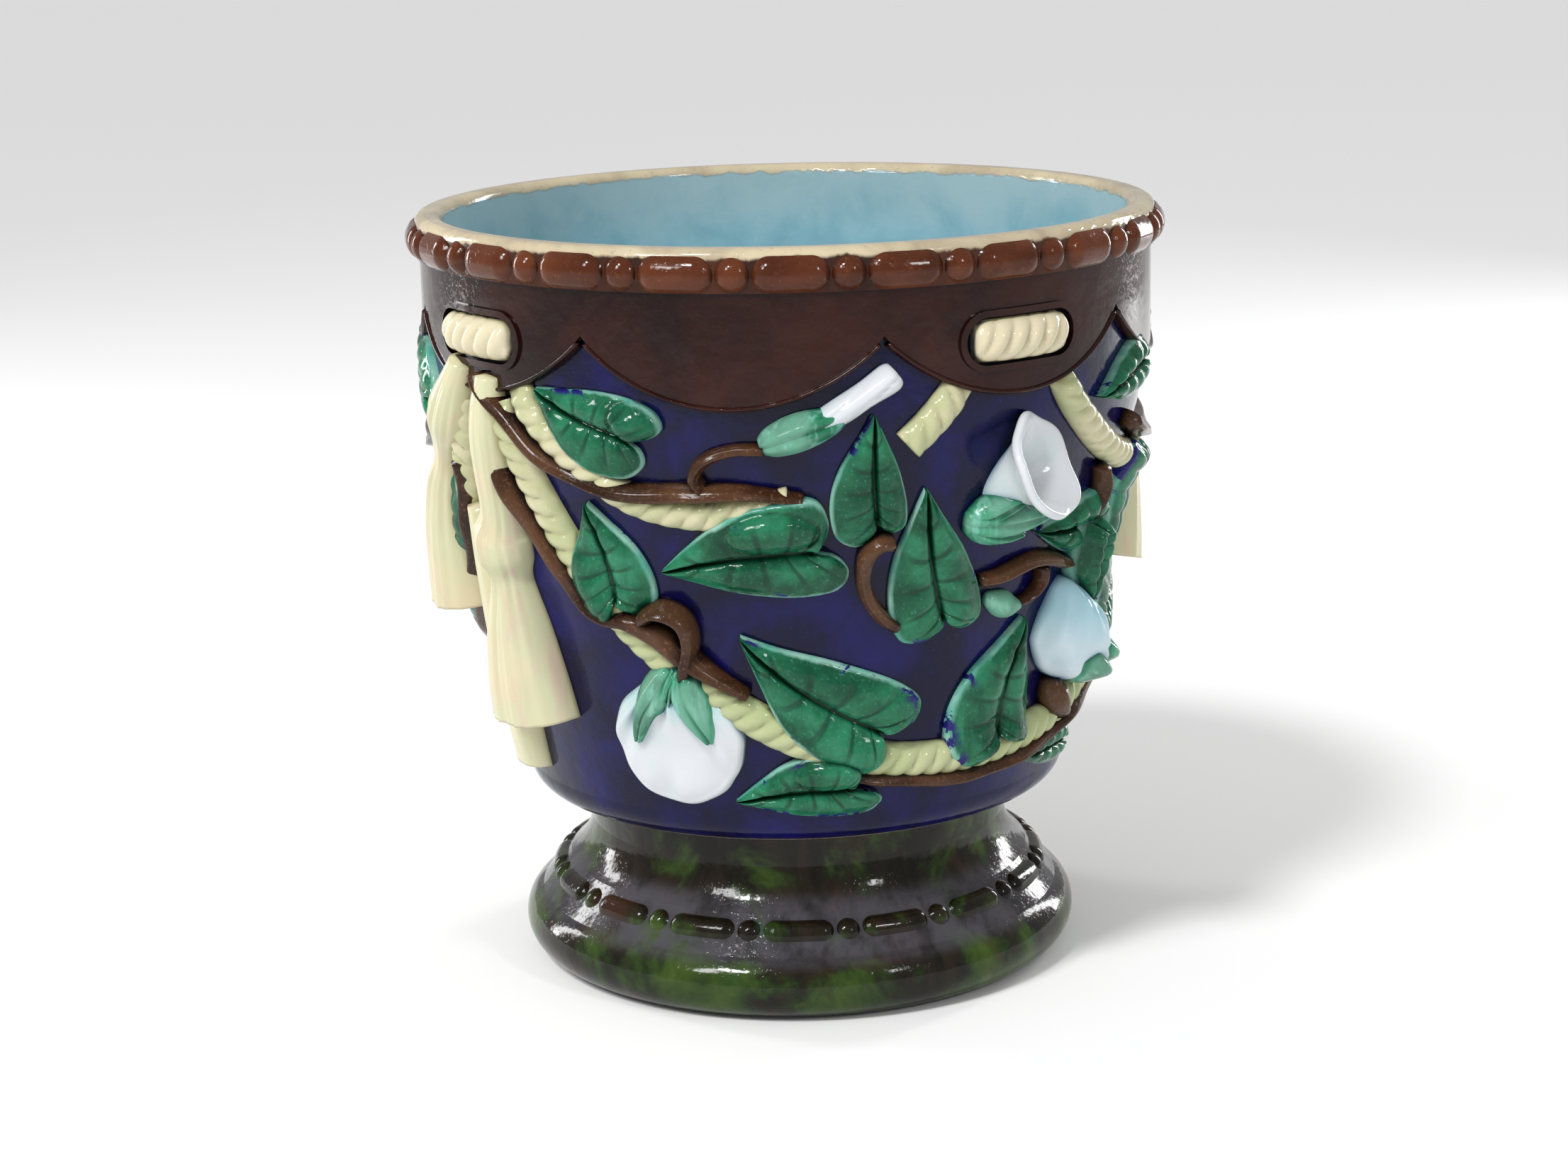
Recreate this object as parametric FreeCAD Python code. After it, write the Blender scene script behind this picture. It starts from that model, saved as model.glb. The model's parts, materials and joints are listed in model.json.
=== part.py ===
"""Jardiniere on its stand: a glazed pot holder with a draped rope, vines, leaves and bindweed flowers.

The pot tapers down to a flat underside and drops onto a low hollow stand. Every ornament is a
sprig: a separately pressed relief whose back is the wall of the pot itself. A place on the pot is
given by its angle (degrees, 0 at the front, growing to the right) and its height above the floor.
Millimetres, Z up, the origin on the floor in the middle of the stand.
"""
import FreeCAD, Part

import math
import os

Vector = FreeCAD.Vector

# ---- stand ------------------------------------------------------------------------------------
stand_height = 86.0            # floor to the seat under the pot
foot_radius = 118.5            # outer edge of the ring that touches the floor
foot_ring_width = 11.0         # radial width of that ring
torus_radius = 136.0           # widest point of the round moulding at the bottom
torus_height = 16.0
groove_radius = 127.5          # groove above the round moulding
groove_height = 30.0
shoulder_radius = 124.0        # lower edge of the sloping band that carries the beads
shoulder_height = 34.0
shoulder_top_radius = 113.0    # upper edge of the same band
shoulder_top_height = 46.5
neck_radius = 102.0            # narrowest part of the stand
neck_height = 66.0
seat_radius = 104.0            # outer edge of the seat
stand_bore_radius = 92.0       # open top of the stand
stand_wall = 11.0

stand_bead_pairs = 16
stand_bead_radius = 6.5
stand_bead_proud = 2.8
stand_long_bead_length = 27.0
stand_bead_turn = -0.6         # angle of the middle of a long bead

# ---- pot --------------------------------------------------------------------------------------
pot_height = 279.0             # underside to the top of the lip
underside_radius = 122.0
heel_radius = 128.4            # rounded corner between underside and wall
heel_rise = 4.2
wall_low_radius = 131.2        # where the wall starts, above the heel
wall_low_rise = 13.0
wall_middle_radius = 144.8
wall_middle_rise = 84.0
wall_high_radius = 167.0
wall_high_rise = 182.0
wall_turn_radius = 169.3       # where the wall turns upright
wall_turn_rise = 195.0
wall_top_radius = 170.0
wall_top_rise = 210.0
collar_rise = 260.0            # underside of the plain collar behind the rim beads
lip_radius = 175.5
lip_width = 13.0
lip_round = 4.5                # rounding of both edges of the lip
pot_wall = 11.5
pot_floor = 14.0
floor_round = 12.0
foot_ring_clearance = 1.5      # radial play of the hidden foot ring inside the stand
foot_ring_wall = 8.5
foot_ring_depth = 6.0

# ---- rim beads --------------------------------------------------------------------------------
rim_bead_pairs = 22
rim_bead_height = 16.0         # height of the band of beads
rim_bead_drop = 11.0           # middle of the beads below the top of the lip
rim_bead_proud = 4.5           # how far they stand out from the collar
rim_long_bead_length = 33.0
rim_round_bead_radius = 8.4
rim_bead_turn = 0.5            # angle of the middle of a long bead

# ---- scalloped drape --------------------------------------------------------------------------
drape_thickness = 3.5
drape_low = 294.5              # height of the lowest point of a scallop
drape_peak = 324.0             # height of the points between scallops
scallops = 8
eyelet_angle = 36.2            # the first of four eyelets, each in the middle of a scallop
eyelet_height = 319.5
eyelet_length = 61.0
eyelet_opening = 21.0
eyelet_rim_width = 3.0
eyelet_rim_proud = 1.4

# ---- relief -----------------------------------------------------------------------------------
bury = 7.0                     # how deep a raw sprig reaches into the wall before its back is cut
smallest_chip = 120.0          # mm3: crumbs left between crossing sprigs are wiped off
leaf_edge = 2.4                # thickness of a leaf at its edge
leaf_valley = 0.55             # height of the midrib groove as a share of the leaf's crown
upper_rope_width = 15.0
upper_rope_rise = 8.5
lower_rope_width = 17.5
lower_rope_rise = 9.0
loop_width = 19.0              # rope that shows in an eyelet
loop_rise = 9.5
loop_half_angle = 8.8
run_length = 3                 # stations in one run of a long rope or vine

half_turn = 180.0
quarter_turn = 90.0

os.makedirs("parts", exist_ok=True)


# ---- geometry of the wall ---------------------------------------------------------------------
def circle_through(first, middle, last):
    """Centre (radius, height) and size of the circle through three (radius, height) points."""
    (ax, ay), (bx, by), (cx, cy) = first, middle, last
    d = 2.0 * (ax * (by - cy) + bx * (cy - ay) + cx * (ay - by))
    a, b, c = ax * ax + ay * ay, bx * bx + by * by, cx * cx + cy * cy
    x = (a * (by - cy) + b * (cy - ay) + c * (ay - by)) / d
    y = (a * (cx - bx) + b * (ax - cx) + c * (bx - ax)) / d
    return x, y, math.hypot(ax - x, ay - y)


def on_stand(rise):
    """Height above the floor of a level of the pot."""
    return stand_height + rise


wall_low = (wall_low_radius, on_stand(wall_low_rise))
wall_middle = (wall_middle_radius, on_stand(wall_middle_rise))
wall_high = (wall_high_radius, on_stand(wall_high_rise))
wall_turn = (wall_turn_radius, on_stand(wall_turn_rise))
wall_top = (wall_top_radius, on_stand(wall_top_rise))
lip_height = on_stand(pot_height)
hollow_curve = circle_through(wall_low, wall_middle, wall_high)
full_curve = circle_through(wall_high, wall_turn, wall_top)


def wall_radius(height):
    """Outer radius of the pot's wall at a height above the floor."""
    if height >= wall_top[1]:
        return wall_top_radius
    if height >= wall_high[1]:
        x, y, size = full_curve
        return x + math.sqrt(size * size - (height - y) ** 2)
    x, y, size = hollow_curve
    return x - math.sqrt(size * size - (height - y) ** 2)


def wall_axes(angle, height):
    """Unit vectors at a place on the wall: to the right, up along the wall, and outwards."""
    a = math.radians(angle)
    slope = math.atan(wall_radius(height + 0.5) - wall_radius(height - 0.5))
    right = Vector(math.cos(a), math.sin(a), 0)
    radial = Vector(math.sin(a), -math.cos(a), 0)
    up = radial * math.sin(slope) + Vector(0, 0, math.cos(slope))
    return right, up, right.cross(up)


def wall_point(angle, height, lift=0.0):
    """The place on the wall, lifted off it by some millimetres."""
    a = math.radians(angle)
    radius = wall_radius(height)
    foot = Vector(radius * math.sin(a), -radius * math.cos(a), height)
    return foot + wall_axes(angle, height)[2] * lift


def revolved(outline):
    """Solid of revolution about Z from a closed list of edges in the XZ plane."""
    wire = Part.Wire(Part.__sortEdges__(outline))
    return Part.Face(wire).revolve(Vector(0, 0, 0), Vector(0, 0, 1), 360)


def profile(*pieces):
    """Edges in the XZ plane: each piece is two points (a line) or three (an arc)."""
    edges = []
    for piece in pieces:
        points = [Vector(radius, 0, height) for radius, height in piece]
        if len(points) == 2:
            edges.append(Part.LineSegment(*points).toShape())
        else:
            edges.append(Part.Arc(*points).toShape())
    return edges


def turned(shape, angle):
    """Copy of a shape turned about the pot's axis."""
    copy = shape.copy()
    copy.rotate(Vector(0, 0, 0), Vector(0, 0, 1), angle)
    return copy


def solids(shape):
    """The solids of a shape that are more than crumbs."""
    return [solid for solid in shape.Solids if solid.Volume > smallest_chip]


# ---- stand ------------------------------------------------------------------------------------
def make_stand():
    inner_foot = foot_radius - foot_ring_width
    foot_top = (shoulder_top_radius - stand_wall, shoulder_top_height - stand_wall / 2)
    outline = profile(
        ((inner_foot, 0), (foot_radius, 0)),
        ((foot_radius, 0), (torus_radius, torus_height), (groove_radius, groove_height)),
        ((groove_radius, groove_height), (shoulder_radius, shoulder_height)),
        ((shoulder_radius, shoulder_height), (shoulder_top_radius, shoulder_top_height)),
        ((shoulder_top_radius, shoulder_top_height),
         ((shoulder_top_radius + neck_radius) / 2 - 2.6, (shoulder_top_height + neck_height) / 2),
         (neck_radius, neck_height)),
        ((neck_radius, neck_height), (seat_radius, stand_height)),
        ((seat_radius, stand_height), (stand_bore_radius, stand_height)),
        ((stand_bore_radius, stand_height), (stand_bore_radius, neck_height)),
        ((stand_bore_radius, neck_height), foot_top),
        (foot_top, (torus_radius - stand_wall, torus_height), (inner_foot, 0)),
    )
    return revolved(outline)


def bead(angle, radius, height, size, length):
    """A bead on a band: a ball, or a bar with ball ends that follows the band's circle.

    radius and height place the middle of the ball; length is the whole bead's length.
    """
    half = math.degrees(max(length / 2 - size, 0) / radius)
    ball_at = [Vector(radius * math.sin(math.radians(angle + side * half)),
                      -radius * math.cos(math.radians(angle + side * half)), height)
               for side in (-1, 1)]
    if half == 0:
        return Part.makeSphere(size, ball_at[0])
    bar = Part.makeTorus(radius, size, Vector(0, 0, height), Vector(0, 0, 1), -180, 180, 2 * half)
    bar.rotate(Vector(0, 0, 0), Vector(0, 0, 1), angle - half - 90)
    return bar.fuse([Part.makeSphere(size, point) for point in ball_at]).removeSplitter()


def make_stand_beads(stand):
    slope = math.atan2(shoulder_top_height - shoulder_height, shoulder_radius - shoulder_top_radius)
    sunk = stand_bead_radius - stand_bead_proud
    middle_radius = (shoulder_radius + shoulder_top_radius) / 2 - sunk * math.sin(slope)
    middle_height = (shoulder_height + shoulder_top_height) / 2 - sunk * math.cos(slope)
    pitch = 360.0 / stand_bead_pairs
    long_bead = bead(stand_bead_turn, middle_radius, middle_height, stand_bead_radius,
                     stand_long_bead_length + 2 * sunk).cut(stand)
    round_bead = bead(stand_bead_turn + pitch / 2, middle_radius, middle_height,
                      stand_bead_radius, 0).cut(stand)
    return [turned(one, pitch * turn) for turn in range(stand_bead_pairs)
            for one in (outermost(long_bead), outermost(round_bead))]


def outermost(shape):
    """The piece of a cut shape that stands outside the wall."""
    return max(shape.Solids, key=lambda one: math.hypot(one.CenterOfMass.x, one.CenterOfMass.y))


# ---- pot --------------------------------------------------------------------------------------
def outer_edges():
    """The pot's outside from the underside up to the collar."""
    heel = (heel_radius, on_stand(heel_rise))
    collar = (wall_top_radius, on_stand(collar_rise))
    return ((underside_radius, stand_height), heel, wall_low), \
        (wall_low, wall_middle, wall_high), \
        (wall_high, wall_turn, wall_top), \
        (wall_top, collar)


def make_pot_body():
    """The pot's outside filled solid, up to the lip: every sprig's back is cut from it."""
    collar = on_stand(collar_rise)
    outline = profile(
        ((0, stand_height), (underside_radius, stand_height)),
        *outer_edges(),
        ((wall_top_radius, collar), (lip_radius, collar)),
        ((lip_radius, collar), (lip_radius, lip_height)),
        ((lip_radius, lip_height), (0, lip_height)),
        ((0, lip_height), (0, stand_height)),
    )
    return revolved(outline)


def make_pot():
    collar = on_stand(collar_rise)
    inner_lip = lip_radius - lip_width
    floor = on_stand(pot_floor)
    corner = lip_round * (1 - math.sqrt(0.5))
    below_lip = lip_height - lip_round
    foot_outer = stand_bore_radius - foot_ring_clearance
    foot_inner = foot_outer - foot_ring_wall
    foot_low = stand_height - foot_ring_depth
    inner_top = (wall_top_radius - pot_wall, wall_top[1])
    inner_turn = (wall_turn_radius - pot_wall, wall_turn[1])
    inner_high = (wall_high_radius - pot_wall, wall_high[1])
    inner_middle = (wall_middle_radius - pot_wall, wall_middle[1])
    inner_low = (wall_radius(floor + floor_round) - pot_wall, floor + floor_round)
    floor_edge = inner_low[0] - floor_round
    bend = floor_round * math.sqrt(0.5)
    outline = profile(
        ((0, stand_height), (foot_inner, stand_height)),
        ((foot_inner, stand_height), (foot_inner, foot_low)),
        ((foot_inner, foot_low), (foot_outer, foot_low)),
        ((foot_outer, foot_low), (foot_outer, stand_height)),
        ((foot_outer, stand_height), (underside_radius, stand_height)),
        *outer_edges(),
        ((wall_top_radius, collar), (lip_radius, collar)),
        ((lip_radius, collar), (lip_radius, below_lip)),
        ((lip_radius, below_lip), (lip_radius - corner, lip_height - corner),
         (lip_radius - lip_round, lip_height)),
        ((lip_radius - lip_round, lip_height), (inner_lip + lip_round, lip_height)),
        ((inner_lip + lip_round, lip_height), (inner_lip + corner, lip_height - corner),
         (inner_lip, below_lip)),
        ((inner_lip, below_lip), inner_top),
        (inner_top, inner_turn, inner_high),
        (inner_high, inner_middle, inner_low),
        (inner_low, (floor_edge + bend, floor + floor_round - bend), (floor_edge, floor)),
        ((floor_edge, floor), (0, floor)),
        ((0, floor), (0, stand_height)),
    )
    return revolved(outline)


def make_rim_beads(pot_body):
    half = rim_bead_height / 2
    size = (half * half + rim_bead_proud ** 2) / (2 * rim_bead_proud)
    middle = lip_height - rim_bead_drop
    pitch = 360.0 / rim_bead_pairs
    long_raw = bead(rim_bead_turn, lip_radius + rim_bead_proud - size, middle, size,
                    rim_long_bead_length + 2 * (size - half))
    round_raw = bead(rim_bead_turn + pitch / 2, lip_radius + rim_bead_proud - rim_round_bead_radius,
                     middle, rim_round_bead_radius, 0)
    long_bead = outermost(long_raw.cut(pot_body))
    round_bead = outermost(round_raw.cut(pot_body))
    return ([turned(long_bead, pitch * turn) for turn in range(rim_bead_pairs)],
            [turned(round_bead, pitch * turn) for turn in range(rim_bead_pairs)])


# ---- drape with its eyelets -------------------------------------------------------------------
def ring(inner, outer, low, high):
    tube = Part.makeCylinder(outer, high - low, Vector(0, 0, low))
    return tube.cut(Part.makeCylinder(inner, high - low, Vector(0, 0, low)))


def scallop_disc(angle, shrink=0.0):
    """Cylinder that points out of the wall; its lower edge draws one scallop."""
    half_chord = wall_top_radius * math.sin(math.pi / scallops)
    depth = drape_peak - drape_low
    radius = (half_chord ** 2 + depth ** 2) / (2 * depth)
    a = math.radians(angle)
    out = Vector(math.sin(a), -math.cos(a), 0)
    return Part.makeCylinder(radius - shrink, lip_radius + 20, Vector(0, 0, drape_low + radius), out)


def slot_prism(angle, length, opening):
    """Prism with round ends that points out of the wall at an eyelet."""
    right, up, out = wall_axes(angle, eyelet_height)
    centre = Vector(0, 0, eyelet_height) + out * (wall_top_radius - bury)
    straight = (length - opening) / 2
    low, high = -opening / 2, opening / 2

    def at(x, y):
        return centre + right * x + up * y

    edges = [
        Part.LineSegment(at(-straight, low), at(straight, low)).toShape(),
        Part.Arc(at(straight, low), at(length / 2, 0), at(straight, high)).toShape(),
        Part.LineSegment(at(straight, high), at(-straight, high)).toShape(),
        Part.Arc(at(-straight, high), at(-length / 2, 0), at(-straight, low)).toShape(),
    ]
    return Part.Face(Part.Wire(edges)).extrude(out * (3 * bury))


def scallop_angles():
    return [eyelet_angle + 360.0 / scallops * turn for turn in range(scallops)]


def eyelet_angles():
    return [eyelet_angle + quarter_turn * turn for turn in range(4)]


def make_drape():
    collar = on_stand(collar_rise)
    outer = wall_top_radius + drape_thickness
    discs = [scallop_disc(angle) for angle in scallop_angles()]
    cloth = ring(wall_top_radius - bury, outer, drape_low - 1, collar)
    cloth = cloth.common(discs[0].fuse(discs[1:]))
    for angle in eyelet_angles():
        rim_length = eyelet_length + 2 * eyelet_rim_width
        rim = slot_prism(angle, rim_length, eyelet_opening + 2 * eyelet_rim_width)
        rim = rim.common(ring(wall_top_radius - bury, outer + eyelet_rim_proud, drape_low, collar))
        cloth = cloth.fuse(rim).cut(slot_prism(angle, eyelet_length, eyelet_opening))
    return cloth


def drape_zone():
    """All the space in front of the drape, where no rope may show."""
    discs = [scallop_disc(angle) for angle in scallop_angles()]
    space = ring(wall_top_radius - bury, lip_radius + 15, drape_low - 1, on_stand(collar_rise))
    return space.common(discs[0].fuse(discs[1:]))


# ---- sprigs -----------------------------------------------------------------------------------
def relief(stations):
    """Raw relief that follows the wall, in one smooth piece: see sections."""
    return Part.makeLoft(sections(stations), True, False, False, 3)


def relief_runs(stations):
    """The same for a long stem or rope, in short runs that meet face to face."""
    wires = sections(stations)
    starts = range(0, len(wires) - 1, run_length)
    return [Part.makeLoft(wires[start:start + run_length + 1], True, False, False, 3)
            for start in starts]


def sections(stations):
    """Half-round outlines across a path: each station is (angle, height, width, rise)."""
    places = [wall_point(angle, height) for angle, height, width, rise in stations]
    wires = []
    for i, (angle, height, width, rise) in enumerate(stations):
        along = places[min(i + 1, len(places) - 1)] - places[max(i - 1, 0)]
        out = wall_axes(angle, height)[2]
        side = out.cross(along).normalize()

        def at(x, y):
            return places[i] + side * (x * width / 2) + out * y

        wires.append(Part.Wire([
            Part.LineSegment(at(-1, -bury), at(-1, 0.2 * rise)).toShape(),
            Part.Arc(at(-1, 0.2 * rise), at(-0.72, 0.76 * rise), at(0, rise)).toShape(),
            Part.Arc(at(0, rise), at(0.72, 0.76 * rise), at(1, 0.2 * rise)).toShape(),
            Part.LineSegment(at(1, 0.2 * rise), at(1, -bury)).toShape(),
            Part.LineSegment(at(1, -bury), at(-1, -bury)).toShape(),
        ]))
    return wires


def leaf(angle, height, heading, length, left, right, left_lobe, right_lobe, rise):
    """Raw bindweed leaf. Angle and height give the cleft where the stalk meets the blade, heading
    is the way the tip points (0 up, 90 to the right), left and right are the widest half widths,
    and the lobes are how far each side reaches back past the cleft. Behind the cleft the midrib
    groove dives under the wall, which parts the two lobes."""
    east, up, _ = wall_axes(angle, height)
    turn = math.radians(heading)
    tip_way = east * math.sin(turn) + up * math.cos(turn)
    cleft = wall_point(angle, height)
    lobe = max(left_lobe, right_lobe)
    valley = leaf_valley * rise
    wires = []
    for x, spread, crown, groove, edge in (
            (-1.15 * lobe, 0.58, 0.0, -4.0, -2.5),
            (-0.60 * lobe, 0.88, 0.75, -3.0, 0.5 * leaf_edge),
            (0.12 * length, 1.0, 1.0, 0.8 * valley, leaf_edge),
            (0.50 * length, 0.84, 0.95, valley, leaf_edge),
            (0.80 * length, 0.45, 0.7, 0.8 * valley, leaf_edge),
            (length, 0.06, 0.3, 0.6 * leaf_edge, 0.5 * leaf_edge)):
        spot = cleft + tip_way * x
        place_angle = math.degrees(math.atan2(spot.x, -spot.y))
        place = wall_point(place_angle, spot.z)
        right_hand, _, out = wall_axes(place_angle, spot.z)
        side = (tip_way.cross(out)).normalize()
        out = side.cross(tip_way)
        fall = side.dot(right_hand) ** 2 / (2 * wall_radius(spot.z))

        def at(y, z):
            return place + side * y + out * (z - y * y * fall)

        arcs = []
        for sign, width, reach in ((-1, left, left_lobe), (1, right, right_lobe)):
            share = reach / lobe if x < 0 else 1.0
            level = (edge + groove) / 2
            hump = level + min(crown * share * rise - level, 0.3 * width * spread)
            arcs.append(Part.Arc(at(sign * width * spread, edge),
                                 at(sign * width * spread * 0.55, hump),
                                 at(0, groove)).toShape())
        far_left, far_right = -left * spread, right * spread
        wires.append(Part.Wire(Part.__sortEdges__([
            Part.LineSegment(at(far_left, -bury), at(far_left, edge)).toShape(), arcs[0], arcs[1],
            Part.LineSegment(at(far_right, edge), at(far_right, -bury)).toShape(),
            Part.LineSegment(at(far_right, -bury), at(far_left, -bury)).toShape()])))
    return Part.makeLoft(wires, True, False, False, 3)


class Pot:
    """The pot while it is being decorated: what is laid first covers what is laid later."""

    def __init__(self):
        self.body = make_pot_body()
        self.laid = []
        self.nodes = {}

    def seat(self, raw, blockers=()):
        """Cut a raw sprig back to whatever already covers it, and then to the wall."""
        piece = raw
        for one in list(blockers) + self.laid:
            if one.BoundBox.intersect(piece.BoundBox):
                piece = piece.cut(one)
        return solids(piece.cut(self.body))

    def lay(self, name, raws, turns=(0.0, half_turn), blockers=()):
        """Seat some raw sprigs, repeat them round the pot and keep them under one name."""
        pieces = [piece for raw in raws for piece in self.seat(raw, blockers)]
        self.nodes[name] = [turned(piece, turn) for turn in turns for piece in pieces]
        self.laid += [turned(raw, turn) for turn in turns for raw in raws]


def ball_trumpet():
    """The open flower that stands off the wall: a hollow trumpet with a flared mouth."""
    mouth = Vector(118.5, -139.0, 261.0)
    way = Vector(0.80, -0.37, 0.40).normalize()
    outline = profile(
        ((0, -44), (9, -44)),
        ((9, -44), (11, -20), (23, 0)),
        ((23, 0), (20.5, 1.5), (18.5, 0)),
        ((18.5, 0), (7, -17), (3, -28)),
        ((3, -28), (0, -28)),
        ((0, -28), (0, -44)),
    )
    trumpet = revolved(outline)
    trumpet.Placement = FreeCAD.Placement(mouth, FreeCAD.Rotation(Vector(0, 0, 1), way))
    return trumpet


def open_flower():
    """The hanging round flower: a low dome whose axis is square to the wall."""
    angle, height, size, rise = -22.3, 137.0, 31.0, 11.0
    rim = 1.5
    cap = rise - rim
    ball = (size * size + cap * cap) / (2 * cap)
    out = wall_axes(angle, height)[2]
    middle = wall_point(angle, height)
    disc = Part.makeCylinder(size, rise + 2 * bury, middle - out * 1.5 * bury, out)
    return disc.common(Part.makeSphere(ball, middle + out * (rise - ball)))


def main():
    stand = make_stand()
    pot = Pot()
    stand_beads = make_stand_beads(stand)
    long_beads, round_beads = make_rim_beads(pot.body)

    drape = make_drape()
    pot.laid.append(drape)
    zone = drape_zone()

    # Flowers and their green calyxes. Stations: angle, height, width, rise.
    pot.lay("trumpet_flower", [ball_trumpet()])
    pot.lay("trumpet_calyx", [relief([(28.6, 238, 9, 5), (30.5, 238.5, 19, 9), (33.5, 239.5, 25, 12),
                                      (37.0, 241, 24, 12)])])
    pot.lay("disc_calyx_left", [
        relief([(-20.4, 171, 8, 8), (-22.6, 163, 11, 13.5), (-25.2, 153, 10, 14), (-27, 144, 6, 12.5),
                (-27.6, 139, 3, 10)])])
    pot.lay("disc_calyx_right", [
        relief([(-19.2, 171, 8, 8), (-18.2, 164, 11, 14), (-16.8, 155, 12, 14.5),
                (-16.9, 146, 9, 12.5), (-17.6, 142, 5, 10)])])
    pot.lay("disc_flower", [open_flower()])
    pot.lay("bud_calyx", [relief([(-4.6, 279, 7, 5), (-2.6, 281.5, 14, 9), (1.2, 285.5, 17, 11),
                                  (5.4, 289.5, 14, 10.5)])])
    pot.lay("bud_flower", [relief([(3, 287, 11, 9.5), (7, 293.5, 12, 10), (11, 300.8, 12, 10.5),
                                   (15.2, 308.5, 13.5, 11)])])
    pot.lay("side_calyx", [relief([(62.5, 168.5, 29, 25), (65.5, 163.5, 30, 26), (69, 157.5, 22, 20),
                                   (71.5, 153.5, 12, 12)])])
    pot.lay("side_flower", [relief([(50.3, 180.5, 44, 5), (54.5, 178, 44, 16), (58.5, 174.5, 37, 24),
                                    (62.5, 169.5, 30, 26), (65, 166, 26, 24)])])
    pot.lay("small_bud", [relief([(42, 193, 5, 5), (38.6, 194.5, 13, 8), (35.4, 198.5, 8, 5.5),
                                  (34.2, 201, 3, 3)])])

    # Leaves: angle, height, heading, length, half widths, lobes, rise.
    leaves = {
        "drape_leaf": (-25, 282, -68, 51, 19, 17, 12, 15, 8),
        "tassel_leaf": (-30, 206, -13, 47, 21, 19, 12, 9, 9),
        "bud_leaf": (13, 244, -3, 50, 20, 14, 12, 7, 8),
        "tall_leaf": (25.5, 194, -12, 66, 23, 21, 9, 9, 9),
        "folded_leaf": (3, 231, -99, 73, 22, 26, 14, 9, 11),
        "great_leaf": (15, 142, -54, 84, 23, 24, 9, 12, 11),
        "foot_leaf": (9.5, 114.5, -97, 54, 14, 19, 15, 8, 9),
        "twin_leaf": (40, 132, 11, 57, 28, 20, 16, 4, 11),
        "trumpet_leaf": (59.5, 217, -75, 55, 10, 10, 7, 7, 10),
        "side_leaf": (76, 246, 190, 54, 21, 20, 9, 9, 9),
        "hanging_leaf": (60, 226, 178, 48, 12, 12, 6, 6, 15),
        "eyelet_leaf": (69, 295, -103, 46, 13, 12, 10, 10, 9),
        "vine_leaf": (67, 112, -88, 46, 10, 9, 8, 8, 7),
        "far_drape_leaf": (102, 284, -50, 46, 18, 17, 12, 12, 8),
        "far_tassel_leaf": (104, 222, 22, 48, 19, 20, 10, 11, 9),
        "far_great_leaf": (84, 166, 62, 66, 22, 21, 10, 12, 10),
    }
    for name, shape in leaves.items():
        pot.lay(name, [leaf(*shape)])

    # Tassels hang straight down, so they stand further off the wall where it slopes in.
    pot.lay("middle_tassel", [relief([
        (-50.6, 304, 14, 9), (-51.2, 285, 19, 12), (-52.4, 262, 21, 13), (-53.2, 240, 21, 14),
        (-54.4, 229, 29, 18), (-54.6, 219, 29, 18), (-54.8, 210, 21, 15), (-55, 202, 23, 16),
        (-55.3, 185, 33, 21), (-55.6, 162, 42, 25), (-56, 140, 49, 26)])])
    pot.lay("left_tassel", [relief([
        (-58, 308, 14, 9), (-60, 295, 19, 13), (-63, 281, 24, 15), (-67, 268, 18, 12),
        (-70, 257, 15, 12), (-73, 245, 23, 16), (-76.5, 225, 31, 21), (-79, 203, 35, 25),
        (-80.5, 184, 37, 28)])])
    pot.lay("low_tassel", [relief([
        (-63, 238, 12, 8), (-65, 205, 18, 10), (-66.8, 170, 25, 11), (-67.8, 138, 30, 11),
        (-68.3, 106, 33, 10)])])

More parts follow.
